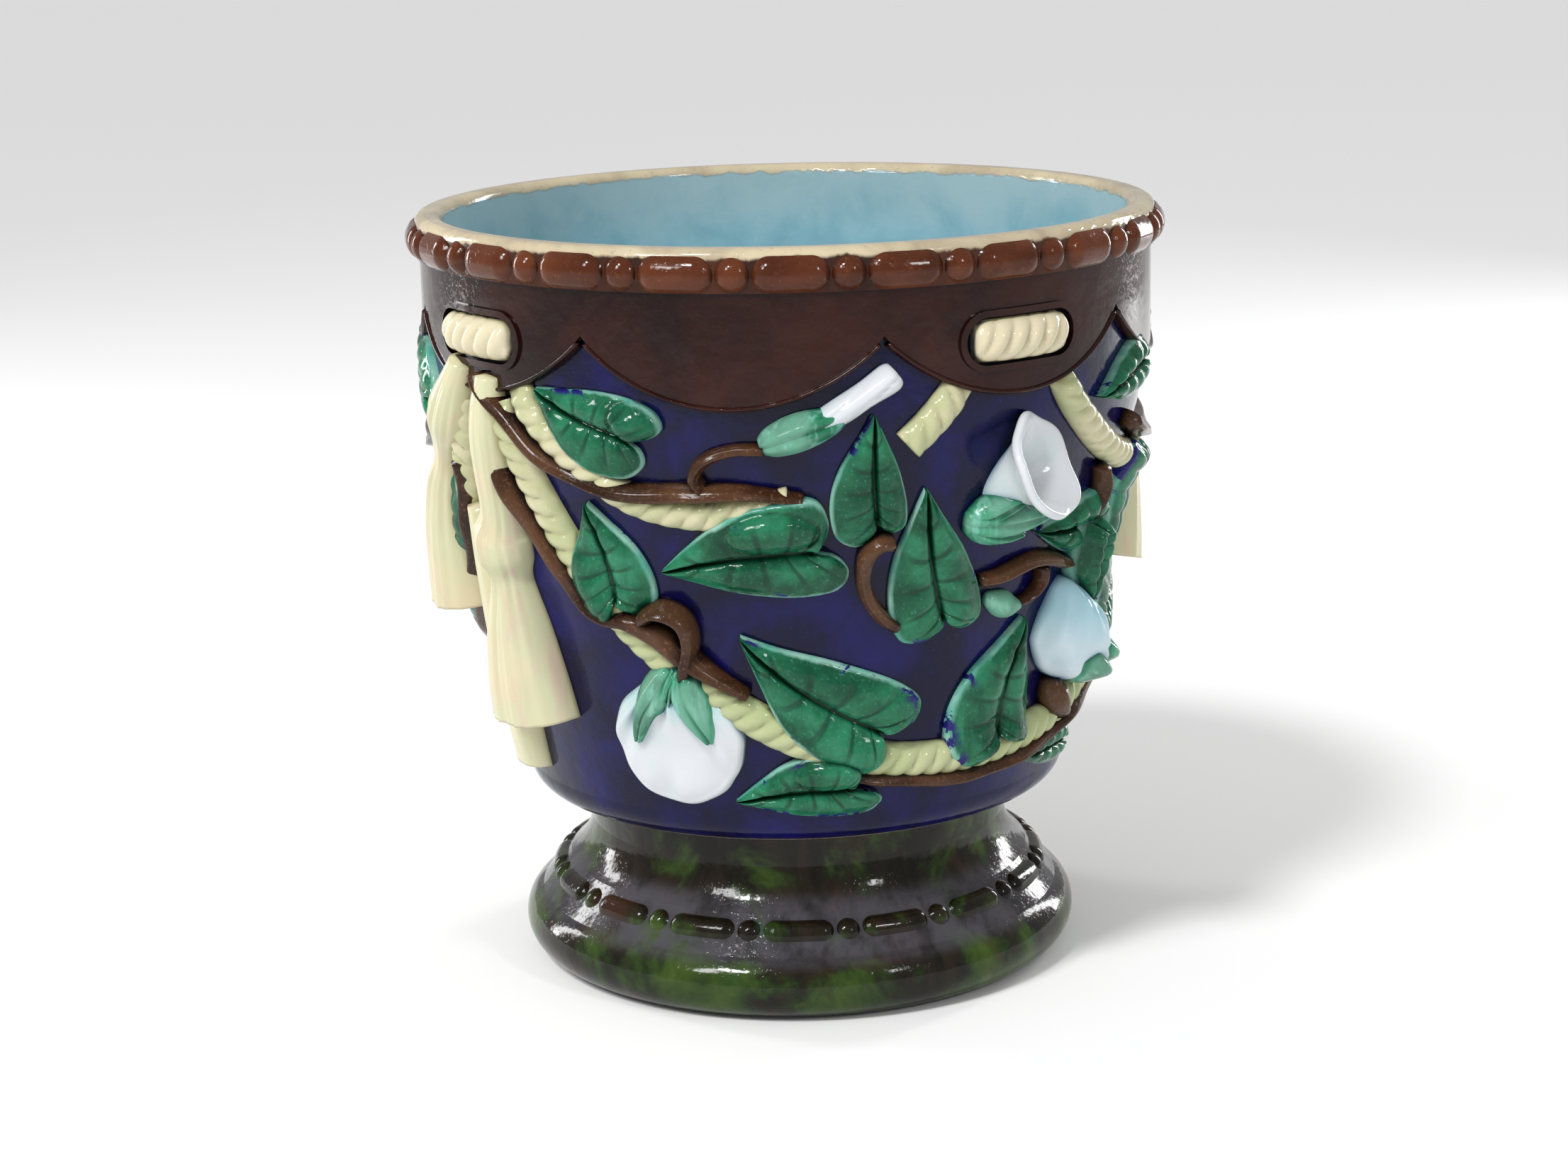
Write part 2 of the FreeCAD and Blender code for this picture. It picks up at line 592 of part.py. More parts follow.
    # Vines lie over the ropes. Stations: angle, height, width, rise.
    pot.lay("upper_vine", [
        *relief_runs([(-53, 304, 7, 10), (-51, 295.5, 8, 10), (-46.5, 286, 8, 10), (-42, 275.5, 8, 10),
                (-38, 268, 8, 10), (-33.5, 262, 8, 9.5), (-28.5, 258.3, 8, 9.5), (-22, 256.8, 9, 9.5),
                (-15, 258.2, 8.5, 9.5), (-8, 258.8, 7, 9), (-2, 257, 5, 8), (2, 255.5, 4, 6)]),
        *relief_runs([(66, 270, 8, 10), (76, 259.5, 8, 10), (86, 255.5, 8, 10), (96, 258, 8, 10),
                (105, 267, 8, 10), (112, 280, 8, 10), (117, 293, 8, 10)])])
    pot.lay("middle_vine", [
        *relief_runs([(16, 233, 7, 9), (13.2, 233.5, 9, 10), (11.6, 226, 8, 8), (11.3, 216, 7, 7),
                (12.4, 206, 7, 7), (14.8, 197, 7, 7), (17.6, 191, 6, 6)]),
        *relief_runs([(32, 208.6, 6, 6), (36, 209.3, 7, 7), (40, 211.8, 7.5, 7.5), (44, 213.6, 8, 8),
                (48.5, 212, 8, 8), (53, 208, 7, 7), (58, 206, 6, 6)]),
        *relief_runs([(59, 252, 7, 8), (60, 243, 7, 9), (59.5, 234, 7, 9), (58, 226, 7, 8)])])
    pot.lay("lower_vine", [
        *relief_runs([(-50.5, 263, 8, 10), (-48.4, 250, 9, 11), (-45.6, 238, 9.5, 10.5),
                (-42.4, 226.5, 9.5, 10.5), (-39.4, 213, 9, 10), (-36.8, 201, 8.5, 10),
                (-33, 196, 8.5, 10), (-28.5, 196, 10, 11), (-24, 190.5, 14, 11.5),
                (-19.5, 181, 12, 11.5), (-14.5, 171.5, 8, 10.5), (-8, 161.5, 4, 9)]),
        *relief_runs([(9, 122, 5, 8), (14, 119, 7, 9), (21, 116.6, 8, 9.5), (30, 114.3, 8, 9.5),
                (39, 114.5, 8, 9.5), (48, 117.3, 8, 9.5), (57, 122, 8, 9.5), (67, 129.5, 8, 10),
                (77, 139.5, 8, 10), (87, 153.5, 8, 10), (96, 171, 8, 10), (104, 192, 8, 10),
                (110, 214, 8, 10), (114, 237, 9, 10), (117, 260, 8, 10)])])
    pot.lay("bud_twig", [relief([(-13.2, 259, 6, 9), (-14.4, 266, 6, 8), (-12.6, 273.4, 6, 7.5),
                                 (-8.5, 277.6, 5.5, 7), (-3.6, 278.2, 5.5, 7)])])
    pot.lay("flower_stalk", [relief([(-26, 197.5, 8, 12), (-22.6, 202.6, 8, 13),
                                     (-18.9, 199, 8, 13.5), (-17.7, 189, 8, 14),
                                     (-18.6, 177, 8, 13), (-19.4, 169.5, 8, 10)])])
    pot.lay("curl_twig", [relief([(46.2, 211, 6, 8), (46.6, 203, 5.5, 7), (44.8, 196.4, 5, 6),
                                  (41.6, 193.4, 4.5, 5)])])
    pot.lay("vine_knot", [relief([(55.6, 151, 8, 7), (56.6, 143, 15, 12), (59.4, 134.5, 15, 12),
                                  (63.5, 127.5, 9, 9.5)])])

    # Ropes lie under everything and stop at the drape.
    def rope(points, width, rise):
        return relief_runs([(angle, height, width, rise) for angle, height in points])

    pot.lay("upper_rope_front", [
        *rope([(-46, 305), (-41, 287), (-35.4, 272.5), (-29, 259.2), (-22.6, 251), (-14, 247.6),
               (-5, 250), (0, 253.5)], upper_rope_width, upper_rope_rise),
        *rope([(17.2, 276.5), (22.3, 290.5), (26.4, 305)], upper_rope_width, upper_rope_rise)],
        blockers=[zone])
    pot.lay("upper_rope_side", rope([
        (43.8, 305), (46.6, 290), (51, 277), (57, 265), (64, 255.5), (72, 249.5), (81, 247.5),
        (90, 249.5), (98, 255.5), (105, 265), (111, 277), (115.4, 290), (118.2, 305)],
        upper_rope_width, upper_rope_rise), blockers=[zone])
    pot.lay("lower_rope", rope([
        (-48.6, 292), (-46, 270), (-43, 250), (-39.5, 230), (-35, 210), (-29, 191.5), (-21, 173),
        (-12, 156.5), (-3, 143), (7, 132.5), (18, 126), (29, 123.5), (40, 123.8), (51, 126.5),
        (62, 132), (72, 140.5), (81, 152), (89, 166), (97, 184), (104, 204), (110, 225),
        (114.5, 247), (118, 270), (120.4, 292)], lower_rope_width, lower_rope_rise),
        blockers=[zone])
    pot.lay("eyelet_rope_loops", [relief([
        (eyelet_angle - loop_half_angle, eyelet_height, 0.74 * loop_width, 0.6 * loop_rise),
        (eyelet_angle - 0.7 * loop_half_angle, eyelet_height, loop_width, loop_rise),
        (eyelet_angle, eyelet_height, loop_width, loop_rise),
        (eyelet_angle + 0.7 * loop_half_angle, eyelet_height, loop_width, loop_rise),
        (eyelet_angle + loop_half_angle, eyelet_height, 0.74 * loop_width, 0.6 * loop_rise)])],
        turns=(0.0, quarter_turn, half_turn, half_turn + quarter_turn))

    nodes = {
        "stand": [stand],
        "stand_beads": stand_beads,
        "bowl": [make_pot()],
        "rim_long_beads": long_beads,
        "rim_round_beads": round_beads,
        "drape": solids(drape.cut(pot.body)),
    }
    nodes.update(pot.nodes)
    for name, pieces in nodes.items():
        Part.makeCompound(pieces).exportStep("parts/" + name + ".step")
    return nodes


if __name__ == "__main__":
    main()
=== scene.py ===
# %% [markdown]
# # A jardiniere on its stand
# The pot is glazed pottery with coloured lead glazes: a cobalt blue bowl under a brown draped rim,
# with cream ropes and tassels, brown vines, green leaves and white bindweed flowers pressed on in
# relief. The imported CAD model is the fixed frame. The plain turned forms keep their CAD shape and
# get a glaze; the pressed ornaments are modelled here in full detail over the same places.

# %% Load the frame
import json
import math

import bpy
import numpy as np
from mathutils import Matrix, Vector


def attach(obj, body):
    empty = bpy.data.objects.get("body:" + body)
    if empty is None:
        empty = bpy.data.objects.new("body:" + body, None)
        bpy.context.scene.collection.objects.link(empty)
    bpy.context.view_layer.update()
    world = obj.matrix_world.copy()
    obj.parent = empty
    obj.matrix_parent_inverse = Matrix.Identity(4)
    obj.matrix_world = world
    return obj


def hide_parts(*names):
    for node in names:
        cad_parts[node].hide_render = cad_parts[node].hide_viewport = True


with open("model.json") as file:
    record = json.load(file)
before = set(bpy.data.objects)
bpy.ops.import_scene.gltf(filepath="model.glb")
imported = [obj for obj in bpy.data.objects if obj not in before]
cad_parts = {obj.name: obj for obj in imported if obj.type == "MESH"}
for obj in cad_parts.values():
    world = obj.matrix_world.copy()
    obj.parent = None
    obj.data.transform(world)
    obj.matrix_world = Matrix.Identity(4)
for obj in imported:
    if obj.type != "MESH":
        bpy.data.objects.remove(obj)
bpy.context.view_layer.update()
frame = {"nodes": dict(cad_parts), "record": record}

MM = 0.001
NODES = frame["nodes"]
print("loaded", len(NODES), "nodes")

# %% [markdown]
# ## Camera, floor and light
# The photograph was taken a little above the rim from about a metre and a half away. The camera is
# turned down and slightly rolled, as the hand-held one was. A soft sun and a pale world give the
# plain, even light of a studio, and four lamps put long soft highlights on the glaze.

# %% Camera
CAMERA_DISTANCE = 1.5
CAMERA_HEIGHT = 0.539
LOOK_DOWN = math.radians(13.63)
ROLL = math.radians(-1.33)


def add_camera():
    bpy.ops.object.camera_add(location=(-0.0043, -CAMERA_DISTANCE, CAMERA_HEIGHT))
    camera = bpy.context.object
    level = Matrix.Rotation(math.radians(90) - LOOK_DOWN, 4, "X")
    camera.matrix_world = (Matrix.Translation(camera.location) @ level @
                           Matrix.Rotation(ROLL, 4, "Z"))
    camera.data.sensor_width = 36
    camera.data.lens = 72.33
    camera.data.clip_end = 20
    bpy.context.scene.camera = camera
    return camera


add_camera()
bpy.context.scene.view_settings.view_transform = "Standard"


# %% Floor, world and lamps
WORLD_STRENGTH = 0.42
LAMP_AIM = (0, 0, 0.2)        # the middle of the pot


def add_floor():
    bpy.ops.object.select_all(action="DESELECT")
    bpy.ops.mesh.primitive_plane_add(size=60, location=(0, 0, -0.0005))
    floor = bpy.context.object
    floor.name = "floor"
    material = bpy.data.materials.new("pale_floor")
    material.use_nodes = True
    shader = material.node_tree.nodes["Principled BSDF"]
    shader.inputs["Base Color"].default_value = (0.98, 0.98, 0.98, 1)
    shader.inputs["Roughness"].default_value = 0.9
    shader.inputs["Specular IOR Level"].default_value = 0.1
    floor.data.materials.append(material)
    return floor


def add_lamp(name, place, size, power):
    bpy.ops.object.light_add(type="AREA", location=place)
    lamp = bpy.context.object
    lamp.name = name
    lamp.data.shape = "RECTANGLE"
    lamp.data.size, lamp.data.size_y = size
    lamp.data.energy = power
    lamp.visible_camera = False
    way = Vector(LAMP_AIM) - Vector(place)
    lamp.rotation_euler = way.to_track_quat("-Z", "Y").to_euler()
    return lamp


def add_sun(name, place, strength, angle):
    bpy.ops.object.light_add(type="SUN", location=place)
    sun = bpy.context.object
    sun.name = name
    sun.data.energy = strength
    sun.data.angle = math.radians(angle)
    sun.rotation_euler = (-Vector(place)).to_track_quat("-Z", "Y").to_euler()
    return sun


add_floor()
world = bpy.data.worlds.new("studio")
bpy.context.scene.world = world
world.use_nodes = True
background = world.node_tree.nodes["Background"]
background.inputs["Color"].default_value = (1, 1, 1, 1)
background.inputs["Strength"].default_value = WORLD_STRENGTH
add_sun("key_sun", (-1.0, -1.4, 2.1), 1.25, 9)
add_lamp("left_strip", (-1.94, 1.03, 0.70), (0.30, 1.2), 18)
add_lamp("right_strip", (1.60, 1.50, 0.70), (0.30, 1.2), 18)
add_lamp("left_window", (-1.1, -1.2, 1.35), (0.35, 0.45), 13)
add_lamp("right_window", (1.3, -1.5, 1.2), (0.22, 0.35), 7)
print("lit the floor with a sun and four lamps")

# %% [markdown]
# ## The wall of the bowl
# Every ornament follows the wall, so a place on it is given by its angle (degrees, 0 in front,
# growing to the right) and its height in millimetres. These helpers turn such places into points.

# %% Wall helpers
WALL_LOW = (131.2, 99.0)
WALL_MIDDLE = (144.8, 170.0)
WALL_HIGH = (167.0, 268.0)
WALL_TURN = (169.3, 281.0)
WALL_TOP = (170.0, 296.0)
MEAN_RADIUS = 155              # for lengths along the wall
BURIED = -3.0                  # a sprig's rim lies this far inside the wall


def circle_through(first, middle, last):
    (ax, ay), (bx, by), (cx, cy) = first, middle, last
    d = 2.0 * (ax * (by - cy) + bx * (cy - ay) + cx * (ay - by))
    a, b, c = ax * ax + ay * ay, bx * bx + by * by, cx * cx + cy * cy
    x = (a * (by - cy) + b * (cy - ay) + c * (ay - by)) / d
    y = (a * (cx - bx) + b * (ax - cx) + c * (bx - ax)) / d
    return x, y, math.hypot(ax - x, ay - y)


HOLLOW = circle_through(WALL_LOW, WALL_MIDDLE, WALL_HIGH)
FULL = circle_through(WALL_HIGH, WALL_TURN, WALL_TOP)


def wall_radius(height):
    height = np.asarray(height, float)
    x, y, size = HOLLOW
    low = x - np.sqrt(np.maximum(size * size - (height - y) ** 2, 1))
    x, y, size = FULL
    high = x + np.sqrt(np.maximum(size * size - (height - y) ** 2, 1))
    return np.where(height >= WALL_TOP[1], WALL_TOP[0], np.where(height >= WALL_HIGH[1], high, low))


def on_wall(angle, height, lift):
    """Points (millimetres) on the wall, lifted off it along its outward normal."""
    a = np.radians(angle)
    slope = np.arctan(wall_radius(np.asarray(height) + 0.5) - wall_radius(np.asarray(height) - 0.5))
    radius = wall_radius(height) + lift * np.cos(slope)
    return np.stack([radius * np.sin(a), -radius * np.cos(a), height - lift * np.sin(slope)], -1)


def smooth_path(points, u):
    """Values of a curve through rows of numbers at u from 0 to 1 (Catmull-Rom, by row number)."""
    p = np.asarray(points, float)
    p = np.vstack([2 * p[0] - p[1], p, 2 * p[-1] - p[-2]])
    x = np.clip(np.asarray(u, float), 0, 1) * (len(p) - 3)
    i = np.minimum(x.astype(int), len(p) - 4)
    f = (x - i)[..., None]
    a, b, c, d = p[i], p[i + 1], p[i + 2], p[i + 3]
    return 0.5 * (2 * b + (c - a) * f + (2 * a - 5 * b + 4 * c - d) * f ** 2 +
                  (3 * b - a - 3 * c + d) * f ** 3)


def bump(x, centre, width):
    return np.exp(-((x - centre) / width) ** 2)


# %% [markdown]
# ## Pressed sprigs
# In the factory each ornament is pressed in a small plaster mould and stuck on the soft clay, so it
# has a relief front and a back that is the wall itself. Here a sprig starts as a flat grid, a
# shape function lifts it into relief on the wall, and its buried rim is closed with one face. A
# form that closes on itself, such as the trumpet, has no rim and gets no such face.

# %% From grid to sprig
def pressed(name, rows, columns, shape, turns=(0, 180), has_rim=True):
    """A sprig modelled on a grid: shape takes u, v (0 to 1) and gives points in millimetres."""
    copies = []
    for turn in turns:
        bpy.ops.object.select_all(action="DESELECT")
        bpy.ops.mesh.primitive_grid_add(x_subdivisions=rows, y_subdivisions=columns, size=1)
        sprig = bpy.context.object
        mesh = sprig.data
        flat = np.empty(len(mesh.vertices) * 3)
        mesh.vertices.foreach_get("co", flat)
        flat = flat.reshape(-1, 3)
        points = shape(flat[:, 0] + 0.5, flat[:, 1] + 0.5)
        a = math.radians(turn)
        spin = np.array([[math.cos(a), math.sin(a), 0], [-math.sin(a), math.cos(a), 0], [0, 0, 1]])
        mesh.vertices.foreach_set("co", (points @ spin * MM).ravel())
        mesh.update()
        bpy.ops.object.mode_set(mode="EDIT")
        if has_rim:
            bpy.ops.mesh.select_all(action="SELECT")
            bpy.ops.mesh.region_to_loop()
            bpy.ops.mesh.edge_face_add()
        bpy.ops.mesh.select_all(action="SELECT")
        bpy.ops.mesh.remove_doubles(threshold=0.02 * MM)
        bpy.ops.mesh.normals_make_consistent(inside=False)
        bpy.ops.object.mode_set(mode="OBJECT")
        copies.append(sprig)
    return joined(name, copies)


def joined(name, pieces):
    bpy.ops.object.select_all(action="DESELECT")
    for piece in pieces:
        piece.select_set(True)
    bpy.context.view_layer.objects.active = pieces[0]
    if len(pieces) > 1:
        bpy.ops.object.join()
    piece = bpy.context.view_layer.objects.active
    piece.name = name
    bpy.ops.object.shade_smooth()
    return piece


# %% Strips that follow a path on the wall
def along_wall(path, u, v, lift):
    """A raised strip along a path of (angle, height, width, rise). lift(distance, across, rise)
    gives the height of the relief, where across runs from -1 to 1 over the strip."""
    fine = smooth_path(path, np.linspace(0, 1, 800))
    radius = wall_radius(fine[:, 1])
    steps = np.hypot(np.diff(np.radians(fine[:, 0])) * (radius[1:] + radius[:-1]) / 2,
                     np.diff(fine[:, 1]) * 1.02)
    reach = np.concatenate([[0], np.cumsum(steps)])
    distance = u * reach[-1]
    angle = np.interp(distance, reach, fine[:, 0])
    height = np.interp(distance, reach, fine[:, 1])
    width = np.interp(distance, reach, fine[:, 2])
    rise = np.interp(distance, reach, fine[:, 3])
    ahead = np.minimum(distance + 2.0, reach[-1])
    behind = np.maximum(distance - 2.0, 0)
    east = (np.radians(np.interp(ahead, reach, fine[:, 0]) - np.interp(behind, reach, fine[:, 0]))
            * wall_radius(height))
    north = np.interp(ahead, reach, fine[:, 1]) - np.interp(behind, reach, fine[:, 1])
    size = np.hypot(east, north)
    across = -np.cos(np.pi * v)
    off = across * width / 2
    h = lift(distance, across, rise)
    rim = (v < 1e-6) | (v > 1 - 1e-6) | (u < 1e-6) | (u > 1 - 1e-6)
    h = np.where(rim, BURIED, h)
    new_angle = angle + np.degrees(off * north / size / wall_radius(height))
    new_height = height - off * east / size
    return on_wall(new_angle, new_height, h)


def strip(name, path, lift, step=1.2, columns=14, turns=(0, 180)):
    fine = smooth_path(path, np.linspace(0, 1, 200))
    length = np.hypot(np.diff(np.radians(fine[:, 0])) * MEAN_RADIUS,
                      np.diff(fine[:, 1])).sum()
    rows = max(int(length / step), 6)
    return pressed(name, rows, columns, lambda u, v: along_wall(path, u, v, lift), turns)


# %% [markdown]
# ## Glazes
# Lead glaze is thick and runny. It thins to pale on sharp edges, and its colour drifts over a few
# centimetres. Grooves and the places where pieces meet are darkened with painted shade, which also
# stands for the glaze pooling dark there. Two shared effects give the drifting masks and the slightly
# uneven skin that bends the highlights. Each glaze then mixes its own colours.

# %% Shared effects
def new_group(name, inputs, outputs):
    group = bpy.data.node_groups.new(name, "ShaderNodeTree")
    for label, value in inputs:
        socket = group.interface.new_socket(label, in_out="INPUT", socket_type="NodeSocketFloat")
        socket.default_value = value
    for label, kind in outputs:
        group.interface.new_socket(label, in_out="OUTPUT", socket_type=kind)
    return group, group.nodes.new("NodeGroupInput"), group.nodes.new("NodeGroupOutput")


def math_node(tree, operation, *values):
    node = tree.nodes.new("ShaderNodeMath")
    node.operation = operation
    for i, value in enumerate(values):
        if isinstance(value, (int, float)):
            node.inputs[i].default_value = value
        else:
            tree.links.new(value, node.inputs[i])
    return node.outputs[0]


def noise_node(tree, vector, scale, detail=4.0, roughness=0.55, distortion=0.0):
    node = tree.nodes.new("ShaderNodeTexNoise")
    tree.links.new(vector, node.inputs["Vector"])
    if isinstance(scale, (int, float)):
        node.inputs["Scale"].default_value = scale
    else:
        tree.links.new(scale, node.inputs["Scale"])
    node.inputs["Detail"].default_value = detail
    node.inputs["Roughness"].default_value = roughness
    node.inputs["Distortion"].default_value = distortion
    return node.outputs["Fac"]


def spread(tree, value, low, high, to_low=0.0, to_high=1.0):
    node = tree.nodes.new("ShaderNodeMapRange")
    node.interpolation_type = "SMOOTHSTEP"
    tree.links.new(value, node.inputs["Value"])
    node.inputs["From Min"].default_value = low
    node.inputs["From Max"].default_value = high
    node.inputs["To Min"].default_value = to_low
    node.inputs["To Max"].default_value = to_high
    return node.outputs["Result"]


def make_drift():
    """Masks of a runny glaze: broad pools, vertical runs, and fine specks."""
    group, get, put = new_group("glaze_drift", [("Scale", 1.0), ("Shift", 0.0)],
                                [("Pools", "NodeSocketFloat"), ("Runs", "NodeSocketFloat"),
                                 ("Specks", "NodeSocketFloat")])
    place = group.nodes.new("ShaderNodeTexCoord").outputs["Object"]
    moved = group.nodes.new("ShaderNodeVectorMath")
    moved.operation = "ADD"
    group.links.new(place, moved.inputs[0])
    group.links.new(get.outputs["Shift"], moved.inputs[1])
    scale = get.outputs["Scale"]
    pools = noise_node(group, moved.outputs[0], math_node(group, "MULTIPLY", scale, 26.0), 5.0, 0.6, 0.4)
    tall = group.nodes.new("ShaderNodeVectorMath")
    tall.operation = "MULTIPLY"
    tall.inputs[1].default_value = (1, 1, 0.16)
    group.links.new(moved.outputs[0], tall.inputs[0])
    runs = noise_node(group, tall.outputs[0], math_node(group, "MULTIPLY", scale, 90.0), 4.0, 0.6, 0.3)
    specks = noise_node(group, moved.outputs[0], math_node(group, "MULTIPLY", scale, 420.0), 3.0, 0.7)
    group.links.new(pools, put.inputs["Pools"])
    group.links.new(runs, put.inputs["Runs"])
    group.links.new(specks, put.inputs["Specks"])
    return group


def make_skin():
    """The uneven, glassy surface: broad waves of thick glaze and small pits."""
    group, get, put = new_group("glaze_skin", [("Waves", 0.35), ("Pits", 0.12)],
                                [("Normal", "NodeSocketVector")])
    place = group.nodes.new("ShaderNodeTexCoord").outputs["Object"]
    waves = noise_node(group, place, 55.0, 3.0, 0.5)
    pits = noise_node(group, place, 620.0, 2.0, 0.6)
    pits = spread(group, pits, 0.28, 0.42)
    first = group.nodes.new("ShaderNodeBump")
    first.inputs["Distance"].default_value = 0.002
    group.links.new(get.outputs["Waves"], first.inputs["Strength"])
    group.links.new(waves, first.inputs["Height"])
    second = group.nodes.new("ShaderNodeBump")
    second.inputs["Distance"].default_value = 0.0004
    group.links.new(get.outputs["Pits"], second.inputs["Strength"])
    group.links.new(pits, second.inputs["Height"])
    group.links.new(first.outputs[0], second.inputs["Normal"])
    group.links.new(second.outputs[0], put.inputs["Normal"])
    return group


DRIFT = make_drift()
SKIN = make_skin()


# %% Helpers for a glaze's own nodes
class Glaze:
    """One glaze material while its nodes are wired."""

    def __init__(self, name, scale=1.0, shift=0.0, waves=0.35, pits=0.12, roughness=0.12):
        self.material = bpy.data.materials.new(name)
        self.material.use_nodes = True
        self.tree = self.material.node_tree
        self.shader = self.tree.nodes["Principled BSDF"]
        self.shader.inputs["Roughness"].default_value = roughness
        self.shader.inputs["IOR"].default_value = 1.55
        self.shader.inputs["Specular IOR Level"].default_value = 0.22
        drift = self.tree.nodes.new("ShaderNodeGroup")
        drift.node_tree = DRIFT
        drift.inputs["Scale"].default_value = scale
        drift.inputs["Shift"].default_value = shift
        self.pools, self.runs, self.specks = drift.outputs
        skin = self.tree.nodes.new("ShaderNodeGroup")
        skin.node_tree = SKIN
        skin.inputs["Waves"].default_value = waves
        skin.inputs["Pits"].default_value = pits
        self.tree.links.new(skin.outputs["Normal"], self.shader.inputs["Normal"])
        where = self.tree.nodes.new("ShaderNodeTexCoord")
        split = self.tree.nodes.new("ShaderNodeSeparateXYZ")
        self.tree.links.new(where.outputs["Object"], split.inputs[0])
        self.x, self.y, self.z = split.outputs
        self.place = where.outputs["Object"]
        self.uv = where.outputs["UV"]

    def spread(self, value, low, high, to_low=0.0, to_high=1.0):
        return spread(self.tree, value, low, high, to_low, to_high)

    def math(self, operation, *values):
        return math_node(self.tree, operation, *values)

    def mix(self, mask, first, second, blend="MIX"):
        node = self.tree.nodes.new("ShaderNodeMix")
        node.data_type = "RGBA"
        node.blend_type = blend
        node.clamp_factor = True
        for socket, value in ((node.inputs[0], mask), (node.inputs[6], first), (node.inputs[7], second)):
            if isinstance(value, (int, float)):
                socket.default_value = value
            elif isinstance(value, tuple):
                socket.default_value = (*value, 1)
            else:
                self.tree.links.new(value, socket)
        return node.outputs[2]

    def crevice_pool_and_shade(self, distance, low=0.35, high=0.85):
        """Painted shade, with the glaze pooling there: 1 in grooves and where pieces meet, 0 on open
        surfaces.
        """
        node = self.tree.nodes.new("ShaderNodeAmbientOcclusion")
        node.samples = 6
        node.inputs["Distance"].default_value = distance
        return self.spread(node.outputs["AO"], low, high, 1.0, 0.0)

    def edge(self, distance, low=0.55, high=0.9):
        """1 on sharp raised edges, where glaze runs thin."""
        node = self.tree.nodes.new("ShaderNodeAmbientOcclusion")
        node.samples = 6
        node.inside = True
        node.inputs["Distance"].default_value = distance
        return self.spread(node.outputs["AO"], low, high, 0.0, 1.0)

    def finish(self, colour):
        self.tree.links.new(colour, self.shader.inputs["Base Color"])
        return self.material


# %% Cobalt glaze of the bowl
LIP_TOP = 0.365
CURVE_TOP = 0.2                # the curve node holds values up to 1, so radii are divided by this
# Height and radius (metres) of the middle of the wall, which parts the inner and outer glazes.
MID_WALL = [(0.0, 0.115), (0.112, 0.127), (0.17, 0.139), (0.22, 0.149), (0.268, 0.1605),
            (0.30, 0.1642), (0.345, 0.1655), (LIP_TOP, 0.1695)]


def make_blue_glaze():
    g = Glaze("blue_glaze", 1.0, 0.0, 0.25, 0.1, 0.1)
    blue = g.mix(g.spread(g.pools, 0.35, 0.7), (0.0014, 0.0012, 0.022), (0.0052, 0.0044, 0.088))
    blue = g.mix(g.spread(g.runs, 0.5, 0.75, 0.0, 0.45), blue, (0.0015, 0.0015, 0.020))
    blue = g.mix(g.spread(g.specks, 0.62, 0.8, 0.0, 0.4), blue, (0.03, 0.04, 0.26))
    # painted shade: the cobalt goes near black in grooves and against the ornaments, with the glaze pooled
    # there
    blue = g.mix(g.crevice_pool_and_shade(0.006, 0.3, 0.8), blue, (0.001, 0.001, 0.008))
    radius = g.math("SQRT", g.math("ADD", g.math("MULTIPLY", g.x, g.x), g.math("MULTIPLY", g.y, g.y)))
    brown = g.mix(g.spread(g.pools, 0.3, 0.7), (0.020, 0.006, 0.004), (0.075, 0.022, 0.010))
    wobble = g.math("MULTIPLY", g.math("SUBTRACT", g.runs, 0.5), 0.006)
    collar = g.spread(g.math("ADD", g.z, wobble), 0.340, 0.342)
    outside = g.mix(collar, blue, brown)
    cream = g.mix(g.spread(g.pools, 0.35, 0.75), (0.62, 0.53, 0.36), (0.40, 0.33, 0.23))
    cream = g.mix(g.spread(g.specks, 0.6, 0.75, 0.0, 0.6), cream, (0.22, 0.17, 0.12))
    lip = g.spread(g.math("ADD", g.z, wobble), 0.3600, 0.3618)
    outside = g.mix(lip, outside, cream)
    water = g.mix(g.spread(g.pools, 0.3, 0.7), (0.21, 0.41, 0.48), (0.29, 0.52, 0.60))
    water = g.mix(g.spread(g.specks, 0.66, 0.78, 0.0, 0.4), water, (0.36, 0.34, 0.34))
    high = g.spread(g.math("ADD", g.z, g.math("MULTIPLY", g.math("SUBTRACT", g.pools, 0.5), 0.05)),
                    0.325, 0.358, 0.0, 0.8)
    water = g.mix(high, water, (0.36, 0.50, 0.53))
    curve = g.tree.nodes.new("ShaderNodeFloatCurve")
    line = curve.mapping.curves[0]
    for point, (height, middle) in zip(line.points, (MID_WALL[0], MID_WALL[-1])):
        point.location = (height / LIP_TOP, middle / CURVE_TOP)
    for height, middle in MID_WALL[1:-1]:
        line.points.new(height / LIP_TOP, middle / CURVE_TOP)
    curve.mapping.update()
    g.tree.links.new(g.math("DIVIDE", g.z, LIP_TOP), curve.inputs["Value"])
    middle = g.math("MULTIPLY", curve.outputs[0], CURVE_TOP)
    inner = g.math("MULTIPLY", g.math("LESS_THAN", radius, middle), g.math("GREATER_THAN", g.z, 0.0995))
    inner = g.math("MULTIPLY", inner, g.math("SUBTRACT", 1.0, lip))
    colour = g.mix(inner, outside, water)
    bare = g.spread(g.z, 0.0865, 0.0875)
    colour = g.mix(bare, (0.45, 0.36, 0.25), colour)
    return g.finish(colour)


# %% Brown glazes of the drape and the beads
def make_drape_glaze():
    g = Glaze("drape_glaze", 0.8, 3.0, 0.22, 0.1, 0.08)
    brown = g.mix(g.spread(g.pools, 0.3, 0.7), (0.011, 0.0028, 0.0022), (0.034, 0.0072, 0.0042))
    brown = g.mix(g.spread(g.specks, 0.6, 0.8, 0.0, 0.35), brown, (0.07, 0.022, 0.010))
    # painted shade: near-black brown in the folds and where pieces meet, with the glaze pooled there
    brown = g.mix(g.crevice_pool_and_shade(0.005, 0.35, 0.8), brown, (0.004, 0.002, 0.002))
    return g.finish(brown)


